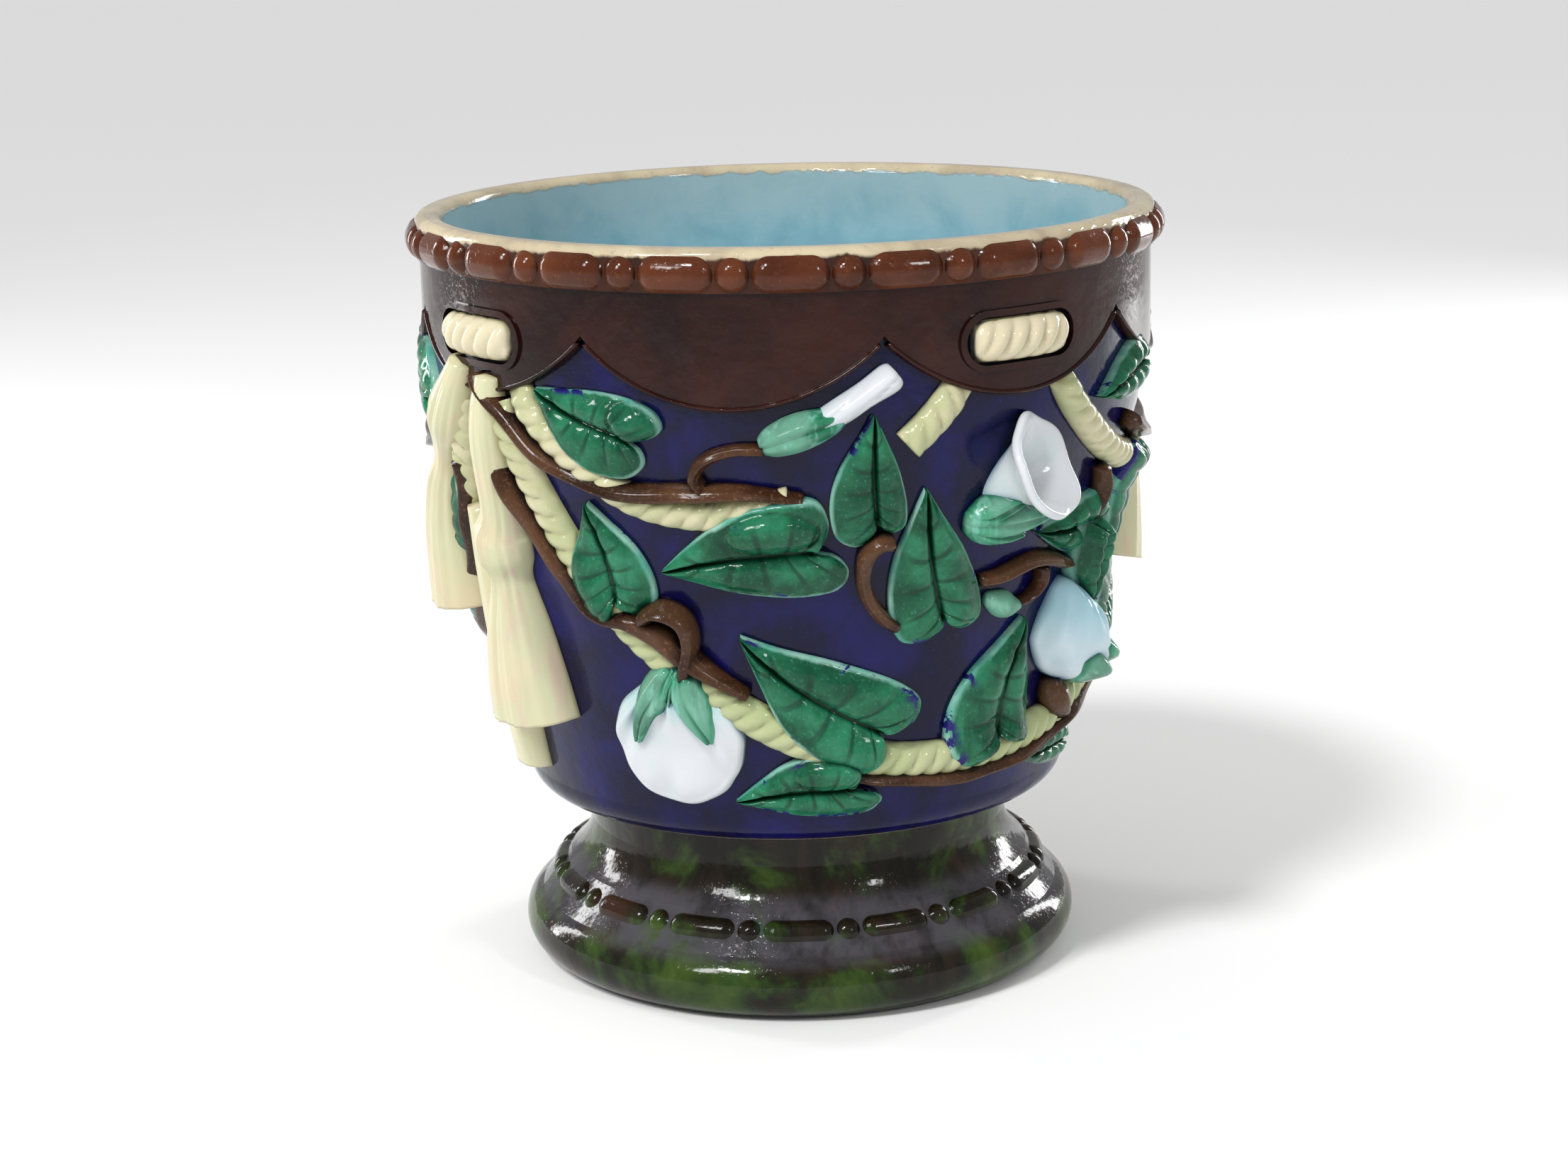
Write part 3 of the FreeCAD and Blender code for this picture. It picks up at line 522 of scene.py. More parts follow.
def make_bead_glaze():
    g = Glaze("bead_glaze", 1.2, 5.0, 0.3, 0.15, 0.1)
    brown = g.mix(g.spread(g.pools, 0.3, 0.72), (0.060, 0.014, 0.005), (0.125, 0.034, 0.012))
    brown = g.mix(g.spread(g.specks, 0.58, 0.75, 0.0, 0.5), brown, (0.22, 0.085, 0.033))
    thin = g.edge(0.010, 0.25, 0.75)
    brown = g.mix(g.math("MULTIPLY", thin, 0.55), brown, (0.24, 0.085, 0.033))
    # painted shade: the joints between the beads go near black, with the glaze pooled there
    return g.finish(g.mix(g.crevice_pool_and_shade(0.007, 0.38, 0.90), brown, (0.004, 0.003, 0.004)))


# %% Mottled glaze of the stand
def make_stand_glaze(name, on_beads):
    g = Glaze(name, 0.9, 9.0, 0.3, 0.12, 0.1)
    dark = g.mix(g.spread(g.runs, 0.35, 0.7), (0.006, 0.005, 0.003), (0.020, 0.013, 0.007))
    low = g.spread(g.z, 0.030, 0.020)
    green = g.mix(g.spread(g.pools, 0.45, 0.75), (0.012, 0.030, 0.006), (0.055, 0.095, 0.014))
    patches = g.spread(g.math("ADD", g.pools, g.math("MULTIPLY", low, 0.07)), 0.49, 0.62)
    colour = g.mix(patches, dark, green)
    second = noise_node(g.tree, g.place, 17.0, 4.0, 0.6, 0.6)
    colour = g.mix(g.spread(second, 0.56, 0.68, 0.0, 0.85), colour, (0.035, 0.014, 0.006))
    colour = g.mix(g.spread(second, 0.36, 0.28, 0.0, 0.8), colour, (0.010, 0.050, 0.016))
    haze = g.math("MULTIPLY", g.spread(g.z, 0.024, 0.032), g.spread(g.z, 0.056, 0.047))
    haze = g.math("MULTIPLY", haze, g.spread(g.runs, 0.3, 0.6, 0.35, 1.0))
    if not on_beads:
        colour = g.mix(g.math("MULTIPLY", haze, 0.8), colour, (0.075, 0.070, 0.085))
    else:
        colour = g.mix(g.math("MULTIPLY", g.edge(0.006, 0.3, 0.8), 0.4), colour, (0.07, 0.034, 0.014))
    # painted shade: near black in the grooves of the stand, with the glaze pooled there
    colour = g.mix(g.crevice_pool_and_shade(0.006, 0.25, 0.75), colour, (0.006, 0.005, 0.004))
    return g.finish(colour)


# %% Cream glazes of the ropes and tassels
def make_rope_glaze():
    g = Glaze("rope_glaze", 1.1, 13.0, 0.25, 0.1, 0.12)
    cream = g.mix(g.spread(g.pools, 0.4, 0.6), (0.62, 0.58, 0.38), (0.48, 0.50, 0.28))
    cream = g.mix(g.spread(g.z, 0.17, 0.24), g.mix(0.5, cream, (0.38, 0.47, 0.22)), cream)
    cream = g.mix(g.spread(g.z, 0.30, 0.312), cream, (0.70, 0.63, 0.44))
    # painted shade: olive in the grooves between the strands, with the glaze pooled there
    cream = g.mix(g.math("MULTIPLY", g.crevice_pool_and_shade(0.004, 0.45, 0.92), 0.7), cream, (0.27, 0.25, 0.09))
    # dark blue-brown blots along the runs, kept to the deeper hollows: glaze runs and painted shade
    blot_and_shade = g.math("MULTIPLY", g.crevice_pool_and_shade(0.009, 0.25, 0.6), g.spread(g.runs, 0.45, 0.6))
    return g.finish(g.mix(blot_and_shade, cream, (0.03, 0.02, 0.05)))


def make_tassel_glaze():
    g = Glaze("tassel_glaze", 0.9, 17.0, 0.2, 0.1, 0.1)
    ivory = g.mix(g.spread(g.pools, 0.4, 0.62), (0.68, 0.60, 0.40), (0.62, 0.62, 0.40))
    ivory = g.mix(g.spread(g.runs, 0.52, 0.7, 0.0, 0.7), ivory, (0.66, 0.50, 0.40))
    # painted shade: darker ivory between the threads and where pieces meet, with the glaze pooled there
    ivory = g.mix(g.math("MULTIPLY", g.crevice_pool_and_shade(0.004, 0.5, 0.95), 0.6), ivory, (0.36, 0.31, 0.15))
    return g.finish(ivory)


# %% Brown glaze of the vines
def make_vine_glaze():
    g = Glaze("vine_glaze", 1.2, 21.0, 0.35, 0.2, 0.16)
    brown = g.mix(g.spread(g.pools, 0.35, 0.65), (0.028, 0.011, 0.005), (0.070, 0.028, 0.012))
    brown = g.mix(g.spread(g.specks, 0.55, 0.7, 0.0, 0.6), brown, (0.20, 0.105, 0.055))
    # paler crests: the glaze thins there, and this is also a painted highlight
    brown = g.mix(g.math("MULTIPLY", g.edge(0.006, 0.3, 0.8), 0.25), brown, (0.20, 0.10, 0.05))
    # painted shade: near black in the grooves of the bark and where pieces meet, with the glaze pooled
    # there
    return g.finish(g.mix(g.crevice_pool_and_shade(0.006, 0.35, 0.9), brown, (0.006, 0.003, 0.004)))


# %% Green glaze of the leaves
SIDE_VEINS = (0.34, 0.50, 0.63, 0.75, 0.87)


def make_leaf_glaze():
    """u runs along the leaf and v across it: the middle line and the side veins are pooled dark,
    and the rim of the leaf is where the white clay shows through."""
    g = Glaze("leaf_glaze", 1.3, 25.0, 0.55, 0.12, 0.09)
    uv = g.tree.nodes.new("ShaderNodeSeparateXYZ")
    g.tree.links.new(g.uv, uv.inputs[0])
    off = g.math("ABSOLUTE", g.math("SUBTRACT", g.math("MULTIPLY", uv.outputs[1], 2.0), 1.0))
    green = g.mix(g.spread(g.pools, 0.35, 0.68), (0.003, 0.062, 0.028), (0.024, 0.200, 0.100))
    green = g.mix(g.spread(g.specks, 0.56, 0.75, 0.0, 0.4), green, (0.10, 0.40, 0.25))
    green = g.mix(g.spread(g.runs, 0.55, 0.75, 0.0, 0.6), green, (0.004, 0.065, 0.030))
    # painted shade: dark green in the hollows of the leaf and against other pieces, with the glaze pooled
    # there
    green = g.mix(g.crevice_pool_and_shade(0.0035, 0.45, 0.92), green, (0.002, 0.024, 0.010))
    inner = g.math("DIVIDE", off, 0.94)
    veins = g.spread(off, 0.05, 0.018)
    for vein in SIDE_VEINS:
        bend = g.math("MULTIPLY", inner, g.math("SUBTRACT", g.math("MULTIPLY", inner, 0.05), 0.03))
        far = g.math("ABSOLUTE", g.math("SUBTRACT", g.math("SUBTRACT", uv.outputs[0], bend), vein))
        line = g.math("MULTIPLY", g.spread(far, 0.016, 0.005), g.spread(inner, 0.95, 0.45, 0.0, 0.75))
        veins = g.math("MAXIMUM", veins, line)
    green = g.mix(g.math("MULTIPLY", veins, 0.8), green, (0.002, 0.026, 0.012))
    ragged = g.math("ADD", off, g.math("MULTIPLY", g.math("SUBTRACT", g.runs, 0.5), 0.16))
    rim = g.spread(ragged, 0.84, 0.955)
    pale = g.mix(g.spread(g.pools, 0.4, 0.6), (0.32, 0.60, 0.50), (0.12, 0.42, 0.33))
    green = g.mix(g.math("MULTIPLY", rim, 0.9), green, pale)
    bleed = noise_node(g.tree, g.place, 30.0, 5.0, 0.7, 1.0)
    speckled = g.math("ADD", off, g.math("MULTIPLY", g.math("SUBTRACT", g.specks, 0.5), 0.2))
    bleed = g.math("MULTIPLY", g.spread(bleed, 0.56, 0.60), g.spread(speckled, 0.72, 0.86))
    green = g.mix(bleed, green, (0.012, 0.012, 0.13))
    return g.finish(green)


# %% Glazes of the flowers and buds
def make_bud_glaze():
    g = Glaze("bud_glaze", 1.5, 31.0, 0.3, 0.12, 0.1)
    green = g.mix(g.spread(g.pools, 0.35, 0.6), (0.008, 0.13, 0.060), (0.060, 0.30, 0.17))
    green = g.mix(g.spread(g.runs, 0.5, 0.65, 0.0, 0.7), green, (0.20, 0.50, 0.40))
    # painted shade: dark green in the hollows of the calyxes and buds, with the glaze pooled there
    green = g.mix(g.crevice_pool_and_shade(0.004, 0.4, 0.9), green, (0.002, 0.05, 0.04))
    return g.finish(g.mix(g.math("MULTIPLY", g.edge(0.003, 0.4, 0.85), 0.3), green, (0.36, 0.62, 0.52)))


def make_flower_glaze(name, base, tint, tint_from, tint_to):
    g = Glaze(name, 1.2, 37.0, 0.2, 0.08, 0.08)
    uv = g.tree.nodes.new("ShaderNodeSeparateXYZ")
    g.tree.links.new(g.uv, uv.inputs[0])
    wander = g.math("MULTIPLY", g.math("SUBTRACT", g.runs, 0.5), 0.25)
    near = g.spread(g.math("ADD", uv.outputs[0], wander), tint_from, tint_to)
    white = g.mix(near, tint, base)
    white = g.mix(g.spread(g.pools, 0.5, 0.7, 0.0, 0.35), white, tint)
    # painted shade: blue in the pleats and where the petals meet other pieces, with blue glaze pooled there
    groove = g.math("MULTIPLY", g.crevice_pool_and_shade(0.005, 0.4, 0.95), 0.75)
    return g.finish(g.mix(groove, white, (0.12, 0.28, 0.45)))


GLAZES = {
    "blue_glaze": make_blue_glaze(),
    "bead_glaze": make_bead_glaze(),
    "drape_glaze": make_drape_glaze(),
    "stand_glaze": make_stand_glaze("stand_glaze", False),
    "stand_bead_glaze": make_stand_glaze("stand_bead_glaze", True),
    "rope_glaze": make_rope_glaze(),
    "tassel_glaze": make_tassel_glaze(),
    "vine_glaze": make_vine_glaze(),
    "leaf_glaze": make_leaf_glaze(),
    "bud_glaze": make_bud_glaze(),
    "white_glaze": make_flower_glaze("white_glaze", (0.67, 0.69, 0.72), (0.45, 0.66, 0.66), 0.0, 0.36),
    "pale_blue_glaze": make_flower_glaze("pale_blue_glaze", (0.62, 0.72, 0.78), (0.38, 0.62, 0.70),
                                         0.15, 0.75),
}
print("made", len(GLAZES), "glazes")

# %% [markdown]
# ## Glazing the turned forms
# The stand, the bowl, the beads and the drape keep the shape they have in the frame. Only their
# material slots change.

# %% Glaze the CAD nodes
for part in frame["record"]["subparts"]:
    node = NODES[part["node"]]
    node.data.materials.clear()
    node.data.materials.append(GLAZES[part["material_slot"]])


def dress(piece, slot, *nodes):
    """Give a finished ornament its glaze, put it on the jardiniere body and hide the CAD nodes it stands
    for.
    """
    piece.data.materials.clear()
    piece.data.materials.append(GLAZES[slot])
    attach(piece, "jardiniere")
    if nodes:
        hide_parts(*nodes)
    return piece


# %% [markdown]
# ## Ropes
# The rope is modelled as twisted cord: slanting strands with a sharp groove between them. A strip
# along the rope's path is lifted into a half round, and a wave that runs slantwise across it cuts
# the grooves.

# %% Rope strands
STRAND_PITCH = 9.0
UPPER_WIDTH, UPPER_RISE = 15.0, 7.6
LOWER_WIDTH, LOWER_RISE = 17.5, 8.0
TUCKED_RISE = 2.0              # a rope's rise where it is under the drape
SCALLOPS = 8
SCALLOP_STEP = 360 / SCALLOPS
SCALLOP_TURN = -8.8            # middle of the first scallop
SCALLOP_RADIUS = 89.5
SCALLOP_LOW = 294.5


def rope_lift(distance, across, rise):
    round_ = np.sqrt(np.maximum(1 - across ** 2, 0))
    phase = distance / STRAND_PITCH + 0.55 * across
    strand = np.abs(np.sin(np.pi * phase)) ** 0.6
    return rise * round_ * (0.70 + 0.30 * strand) + 0.2


UPPER_ROPE = [(-46, 305), (-41, 287), (-35.4, 272.5), (-29, 259.2), (-22.6, 251), (-14, 247.6),
              (-5, 250), (0, 253.5)]
UPPER_STUB = [(17.2, 276.5), (22.3, 290.5), (26.4, 305)]
SIDE_ROPE = [(43.8, 305), (46.6, 290), (51, 277), (57, 265), (64, 255.5), (72, 249.5), (81, 247.5),
             (90, 249.5), (98, 255.5), (105, 265), (111, 277), (115.4, 290), (118.2, 305)]
LOWER_ROPE = [(-48.6, 292), (-46, 270), (-43, 250), (-39.5, 230), (-35, 210), (-29, 191.5), (-21, 173),
              (-12, 156.5), (-3, 143), (7, 132.5), (18, 126), (29, 123.5), (40, 123.8), (51, 126.5),
              (62, 132), (72, 140.5), (81, 152), (89, 166), (97, 184), (104, 204), (110, 225),
              (114.5, 247), (118, 270), (120.4, 292)]


def scallop_edge(angle):
    """Height of the drape's lower edge."""
    step = (angle - SCALLOP_TURN + SCALLOP_STEP / 2) % SCALLOP_STEP - SCALLOP_STEP / 2
    across = WALL_TOP[0] * np.sin(np.radians(step))
    return SCALLOP_LOW + SCALLOP_RADIUS - np.sqrt(SCALLOP_RADIUS ** 2 - across ** 2)


def rope(name, node, lines, width, rise):
    """Cords under one name. Each dips as it slips under the drape."""
    cords = []
    for i, points in enumerate(lines):
        fine = smooth_path(points, np.linspace(0, 1, 5 * len(points)))
        gap = scallop_edge(fine[:, 0]) - fine[:, 1]
        fall = np.clip((gap + 1.0) / 7.0, 0.0, 1.0)
        path = [(angle, height, width, TUCKED_RISE + (rise - TUCKED_RISE) * low)
                for (angle, height), low in zip(fine, fall)]
        cords.append(strip(name + "_%d" % i, path, rope_lift, 0.8, 16))
    return dress(joined(name, cords), "rope_glaze", node)


rope("upper_rope_front_cord", "upper_rope_front", [UPPER_ROPE, UPPER_STUB], UPPER_WIDTH, UPPER_RISE)
rope("upper_rope_side_cord", "upper_rope_side", [SIDE_ROPE], UPPER_WIDTH, UPPER_RISE)
rope("lower_rope_cord", "lower_rope", [LOWER_ROPE], LOWER_WIDTH, LOWER_RISE)
print("laid the upper and lower ropes")


# %% Rope in the eyelets
LOOP_LENGTH = 54


def loop_lift(distance, across, rise):
    return rope_lift(distance + 0.3 * rise, across, rise) + 1.2 * np.sin(distance / LOOP_LENGTH * np.pi)


LOOP = [(27.4, 319.5, 11, 4), (28.6, 319.5, 18, 8.0), (31.5, 319.5, 19.5, 9.2), (36.2, 319.5, 19.5, 9.6),
        (40.9, 319.5, 19.5, 9.2), (43.8, 319.5, 18, 8.0), (45.0, 319.5, 11, 4)]
dress(strip("eyelet_cords", LOOP, loop_lift, 0.9, 14, (0, 90, 180, 270)), "rope_glaze",
      "eyelet_rope_loops")


# %% [markdown]
# ## Leaves
# A bindweed leaf is heart shaped. Each side of the grid is stretched between the middle line and
# one half of the outline, so its lines run the way the side veins do. The blade swells between
# midrib and rim, the veins are cut in, and the blade rises where it lies over a rope.

# %% Leaf outline and relief
def half_outline(t, width, lobe, length):
    points = [(0, 0.02 * width), (-0.72 * lobe, 0.20 * width), (-lobe, 0.55 * width),
              (-0.52 * lobe, 0.93 * width), (0.16 * length, 1.0 * width), (0.48 * length, 0.78 * width),
              (0.78 * length, 0.34 * width), (length, 0)]
    out = smooth_path(points, t)
    return out[:, 0], out[:, 1]


def leaf_shape(spec, bulge=None, curve=0.0):
    angle, height, heading, length, left, right, left_lobe, right_lobe, rise = spec
    a, turn = math.radians(angle), math.radians(heading)
    slope = math.atan(float(wall_radius(height + 0.5) - wall_radius(height - 0.5)))
    east = np.array([math.cos(a), math.sin(a), 0])
    radial = np.array([math.sin(a), -math.cos(a), 0])
    up = radial * math.sin(slope) + np.array([0, 0, math.cos(slope)])
    tip_way = east * math.sin(turn) + up * math.cos(turn)
    out = np.cross(east, up)
    left_way = np.cross(out, tip_way)
    cleft = on_wall(np.array(angle), np.array(height), 0.0)

    def shape(t, v):
        side = np.where(v < 0.5, 1.0, -1.0)
        s = np.abs(2 * v - 1)
        xl, yl = half_outline(t, left, left_lobe, length)
        xr, yr = half_outline(t, right, right_lobe, length)
        ox, oy = np.where(side > 0, xl, xr), np.where(side > 0, yl, yr)
        mid = length * t ** 2.6
        inner = np.minimum(s / 0.94, 1.0)
        x = mid + (ox - mid) * inner
        y = oy * inner
        bend = curve * np.sin(np.pi * np.clip(x / length, -0.3, 1)) * length
        swell = np.sin(np.pi * np.clip(inner, 0, 1) ** 0.85) ** 0.8
        end = 1 - 0.55 * t ** 5 - 0.35 * (1 - t) ** 6
        lift = (0.30 * rise + 1.2) * (1 - 0.35 * inner ** 2) + 0.62 * rise * swell * end
        lift = lift + 0.7 * bump(inner, 0.95, 0.05)
        lift = lift - 1.7 * bump(y, 0, 0.9) * (t > 0.02)
        for vein in SIDE_VEINS:
            centre = vein - 0.03 * inner + 0.05 * inner ** 2
            lift = lift - 0.95 * bump(t, centre, 1.15 / length) * bump(inner, 0.42, 0.40)
        if bulge:
            bx, by, rx, ry, high = bulge
            yy = side * y
            near = 1 - ((x - bx) / rx) ** 2 - ((yy - by) / ry) ** 2
            lift = lift + high * np.sqrt(np.maximum(near, 0)) - 1.3 * bump(near, -0.12, 0.12)
        world = (cleft + np.outer(x, tip_way) + np.outer(side * y + bend, left_way))
        where = np.degrees(np.arctan2(world[:, 0], -world[:, 1]))
        tall = world[:, 2]
        lift = lift + rope_under(where, tall)
        rim = (s > 0.999) | (t < 1e-6) | (t > 1 - 1e-6)
        lift = np.where(rim, BURIED, lift)
        return on_wall(where, tall, lift)

    return shape


UNDER = [np.column_stack([smooth_path(p, np.linspace(0, 1, 160)), np.full(160, w)])
         for p, w in ((UPPER_ROPE, UPPER_RISE), (SIDE_ROPE, UPPER_RISE), (LOWER_ROPE, LOWER_RISE))]


def rope_under(angle, height):
    """How far a leaf is lifted by the rope that it lies on."""
    total = np.zeros(len(angle))
    for line in UNDER:
        east = np.radians(angle[:, None] - line[None, :, 0]) * MEAN_RADIUS
        north = height[:, None] - line[None, :, 1]
        near = np.sqrt(np.min(east ** 2 + north ** 2, axis=1))
        total = np.maximum(total, 0.62 * line[0, 2] * np.exp(-(near / 9.5) ** 2))
    return total


# %% All the leaves
LEAVES = {
    "drape_leaf": ((-25, 282, -68, 51, 19, 17, 12, 15, 6.5), (-4, -9, 12, 9, 4.5), 0.04),
    "tassel_leaf": ((-30, 206, -13, 47, 21, 19, 12, 9, 7), None, -0.03),
    "bud_leaf": ((13, 244, -3, 50, 20, 14, 12, 7, 6.5), None, 0.02),
    "tall_leaf": ((25.5, 194, -12, 66, 23, 21, 9, 9, 7), None, 0.03),
    "folded_leaf": ((3, 231, -99, 73, 22, 26, 14, 9, 8), (16, -12, 19, 10, 5.5), -0.03),
    "great_leaf": ((15, 142, -54, 84, 23, 24, 9, 12, 8), None, 0.04),
    "foot_leaf": ((9.5, 114.5, -97, 54, 14, 19, 15, 8, 6.5), (8, -9, 14, 8, 4.5), -0.03),
    "twin_leaf": ((40, 132, 11, 57, 28, 20, 16, 4, 8), None, 0.03),
    "trumpet_leaf": ((60.5, 226, -88, 50, 15, 14, 8, 8, 9), None, 0.03),
    "side_leaf": ((76, 246, 190, 54, 21, 20, 9, 9, 8), None, 0.0),
    "hanging_leaf": ((57.5, 222, 176, 45, 11, 11, 6, 6, 19), None, 0.0),
    "eyelet_leaf": ((69, 295, -103, 46, 13, 12, 10, 10, 8), None, 0.0),
    "vine_leaf": ((67, 112, -88, 46, 10, 9, 8, 8, 6), None, 0.0),
    "far_drape_leaf": ((102, 284, -50, 46, 18, 17, 12, 12, 7), None, 0.03),
    "far_tassel_leaf": ((104, 222, 22, 48, 19, 20, 10, 11, 7), None, -0.03),
    "far_great_leaf": ((84, 166, 62, 66, 22, 21, 10, 12, 8), None, 0.03),
}
for name, (spec, bulge, curve) in LEAVES.items():
    rows = int(spec[3] * 1.25)
    blade = pressed(name + "_blade", rows, 44, leaf_shape(spec, bulge, curve))
    dress(blade, "leaf_glaze", name)
print("pressed", len(LEAVES), "pairs of leaves")


# %% [markdown]
# ## Vines
# The vines are woody: lengthwise ridges like bark, and a thickness that comes and goes.

# %% Vines and twigs
def vine_lift(distance, across, rise):
    round_ = np.sqrt(np.maximum(1 - across ** 2, 0))
    bark = 0.45 * np.sin(across * 7.5 + 0.8 * np.sin(distance / 9)) * round_
    return rise * round_ * (1 + 0.07 * np.sin(distance / 6.5)) + bark


VINES = {
    "upper_vine": [
        [(-53, 304, 7, 10), (-51, 295.5, 8, 10), (-46.5, 286, 8, 10), (-42, 275.5, 8, 10),
         (-38, 268, 8, 10), (-33.5, 262, 8, 9.5), (-28.5, 258.3, 8, 9.5), (-22, 256.8, 9, 9.5),
         (-15, 258.2, 8.5, 9.5), (-8, 258.8, 7, 9), (-2, 257, 5, 8), (2, 255.5, 4, 6)],
        [(66, 270, 8, 10), (76, 259.5, 8, 10), (86, 255.5, 8, 10), (96, 258, 8, 10),
         (105, 267, 8, 10), (112, 280, 8, 10), (117, 293, 8, 10)]],
    "middle_vine": [
        [(16, 233, 7, 9), (13.2, 233.5, 9, 10), (11.6, 226, 8, 8), (11.3, 216, 7, 7),
         (12.4, 206, 7, 7), (14.8, 197, 7, 7), (17.6, 191, 6, 6)],
        [(32, 208.6, 6, 6), (36, 209.3, 7, 7), (40, 211.8, 7.5, 7.5), (44, 213.6, 8, 8),
         (48.5, 212, 8, 8), (53, 208, 7, 7), (58, 206, 6, 6)],
        [(59, 252, 7, 8), (60, 243, 7, 9), (59.5, 234, 7, 9), (58, 226, 7, 8)]],
    "lower_vine": [
        [(-50.5, 263, 8, 10), (-48.4, 250, 9, 11), (-45.6, 238, 9.5, 10.5), (-42.4, 226.5, 9.5, 10.5),
         (-39.4, 213, 9, 10), (-36.8, 201, 8.5, 10), (-33, 196, 8.5, 10), (-28.5, 196, 10, 11),
         (-24, 190.5, 14, 11.5), (-19.5, 181, 12, 11.5), (-14.5, 171.5, 8, 10.5), (-8, 161.5, 4, 9)],
        [(9, 122, 5, 8), (14, 119, 7, 9), (21, 116.6, 8, 9.5), (30, 114.3, 8, 9.5), (39, 114.5, 8, 9.5),
         (48, 117.3, 8, 9.5), (57, 122, 8, 9.5), (67, 129.5, 8, 10), (77, 139.5, 8, 10),
         (87, 153.5, 8, 10), (96, 171, 8, 10), (104, 192, 8, 10), (110, 214, 8, 10), (114, 237, 9, 10),
         (117, 260, 8, 10)]],
    "bud_twig": [[(-13.2, 259, 6, 9), (-14.4, 266, 6, 8), (-12.6, 273.4, 6, 7.5), (-8.5, 277.6, 5.5, 7),
                  (-3.6, 278.2, 5.5, 7)]],
    "flower_stalk": [[(-26, 197.5, 8, 12), (-22.6, 202.6, 8, 13), (-18.9, 199, 8, 13.5),
                      (-17.7, 189, 8, 14), (-18.6, 177, 8, 13), (-19.4, 169.5, 8, 10)]],
    "curl_twig": [[(46.2, 211, 6, 8), (46.6, 203, 5.5, 7), (44.8, 196.4, 5, 6), (41.6, 193.4, 4.5, 5)]],
    "vine_knot": [[(55.6, 151, 8, 7), (56.6, 143, 15, 12), (59.4, 134.5, 15, 12), (63.5, 127.5, 9, 9.5)]],
}
for name, paths in VINES.items():
    stems = [strip(name + "_" + str(i), path, vine_lift, 1.3, 14) for i, path in enumerate(paths)]
    dress(joined(name + "_stem", stems), "vine_glaze", name)
print("laid", len(VINES), "vines and twigs")


# %% [markdown]
# ## Tassels
# Each tassel is a corded head, a tied knob and a skirt of threads. The threads are fine ridges that
# run down the skirt.

# %% Tassels
TASSELS = {
    "middle_tassel": [(-50.6, 304, 14, 9), (-51.2, 285, 19, 12), (-52.4, 262, 21, 13),
                      (-53.2, 240, 21, 14), (-54.4, 229, 29, 18), (-54.6, 219, 29, 18),
                      (-54.8, 210, 21, 15), (-55, 202, 23, 16), (-55.3, 185, 33, 21),
                      (-55.6, 162, 42, 25), (-56, 140, 49, 26)],
    "left_tassel": [(-58, 308, 14, 9), (-60, 295, 19, 13), (-63, 281, 24, 15), (-67, 268, 18, 12),
                    (-70, 257, 15, 12), (-73, 245, 23, 16), (-76.5, 225, 31, 21),
                    (-79, 203, 35, 25), (-80.5, 184, 37, 28)],
    "low_tassel": [(-63, 238, 12, 8), (-65, 205, 18, 10), (-66.8, 170, 25, 11), (-67.8, 138, 30, 11),
                   (-68.3, 106, 33, 10)],
}


def tassel_lift(distance, across, rise):
    round_ = np.sqrt(np.maximum(1 - np.abs(across) ** 2.4, 0))
    threads = 0.45 * np.sin(across * 30 + 0.5 * np.sin(distance / 17)) + 0.55 * np.sin(across * 11)
    return rise * round_ + threads * round_ * np.clip((rise - 11) / 4, 0.15, 1)


for name, path in TASSELS.items():
    dress(strip(name + "_threads", path, tassel_lift, 1.4, 44), "tassel_glaze", name)
print("hung", len(TASSELS), "pairs of tassels")

# %% [markdown]
# ## Flowers and buds
# The hanging flower is a puffed disc with a ruffled rim, the standing one is a hollow trumpet turned
# on its own axis, the one at the side is a puffed bell, and the closed one is a furled tube. Green
# calyxes hold them.

# %% The hanging disc flower
def disc_shape(angle, height, size, rise):
    def shape(u, v):
        a, b = 2 * v - 1, 1 - 2 * u
        x = a * np.sqrt(1 - b * b / 2)
        y = b * np.sqrt(1 - a * a / 2)
        r = np.hypot(x, y)
        around = np.arctan2(y, x)
        ruffle = 1 + 0.007 * np.sin(5 * around + 0.6) * r ** 4 + 0.008 * np.sin(13 * around) * r ** 8
        lift = rise * np.sqrt(np.maximum(1 - r ** 5, 0)) * (0.78 + 0.30 * bump(y, 0.75, 0.55)) + 0.8
        from_top = np.arctan2(x, 1.25 - y)
        pleats = 1.1 * np.sin(15 * from_top) + 0.6 * np.sin(27 * from_top + 1)
        lift = lift + pleats * bump(r, 0.72, 0.30) + 0.8 * bump(r, 0.93, 0.05)
        lift = np.where(r > 0.999, BURIED, lift)
        where = angle + np.degrees(x * size * ruffle / wall_radius(height))
        return on_wall(where, height + y * size * ruffle, lift)
    return shape


dress(pressed("disc_petals", 56, 56, disc_shape(-22.3, 137.0, 31.0, 10.5)), "white_glaze", "disc_flower")


# %% Calyxes, buds and furled flowers
def plain_lift(distance, across, rise):
    return rise * np.sqrt(np.maximum(1 - across ** 2, 0)) + 0.2


def sepal_lift(distance, across, rise):
    fold = 0.10 * bump(across, 0.0, 0.12) + 0.05 * np.cos(across * 9)
    return rise * np.sqrt(np.maximum(1 - across ** 2, 0)) * (1 - fold)


def furled_lift(distance, across, rise):
    twist = 0.10 * bump(np.sin(across * 2.0 + distance / 16), 0.4, 0.22)
    return rise * np.sqrt(np.maximum(1 - across ** 2, 0)) * (1 - twist)


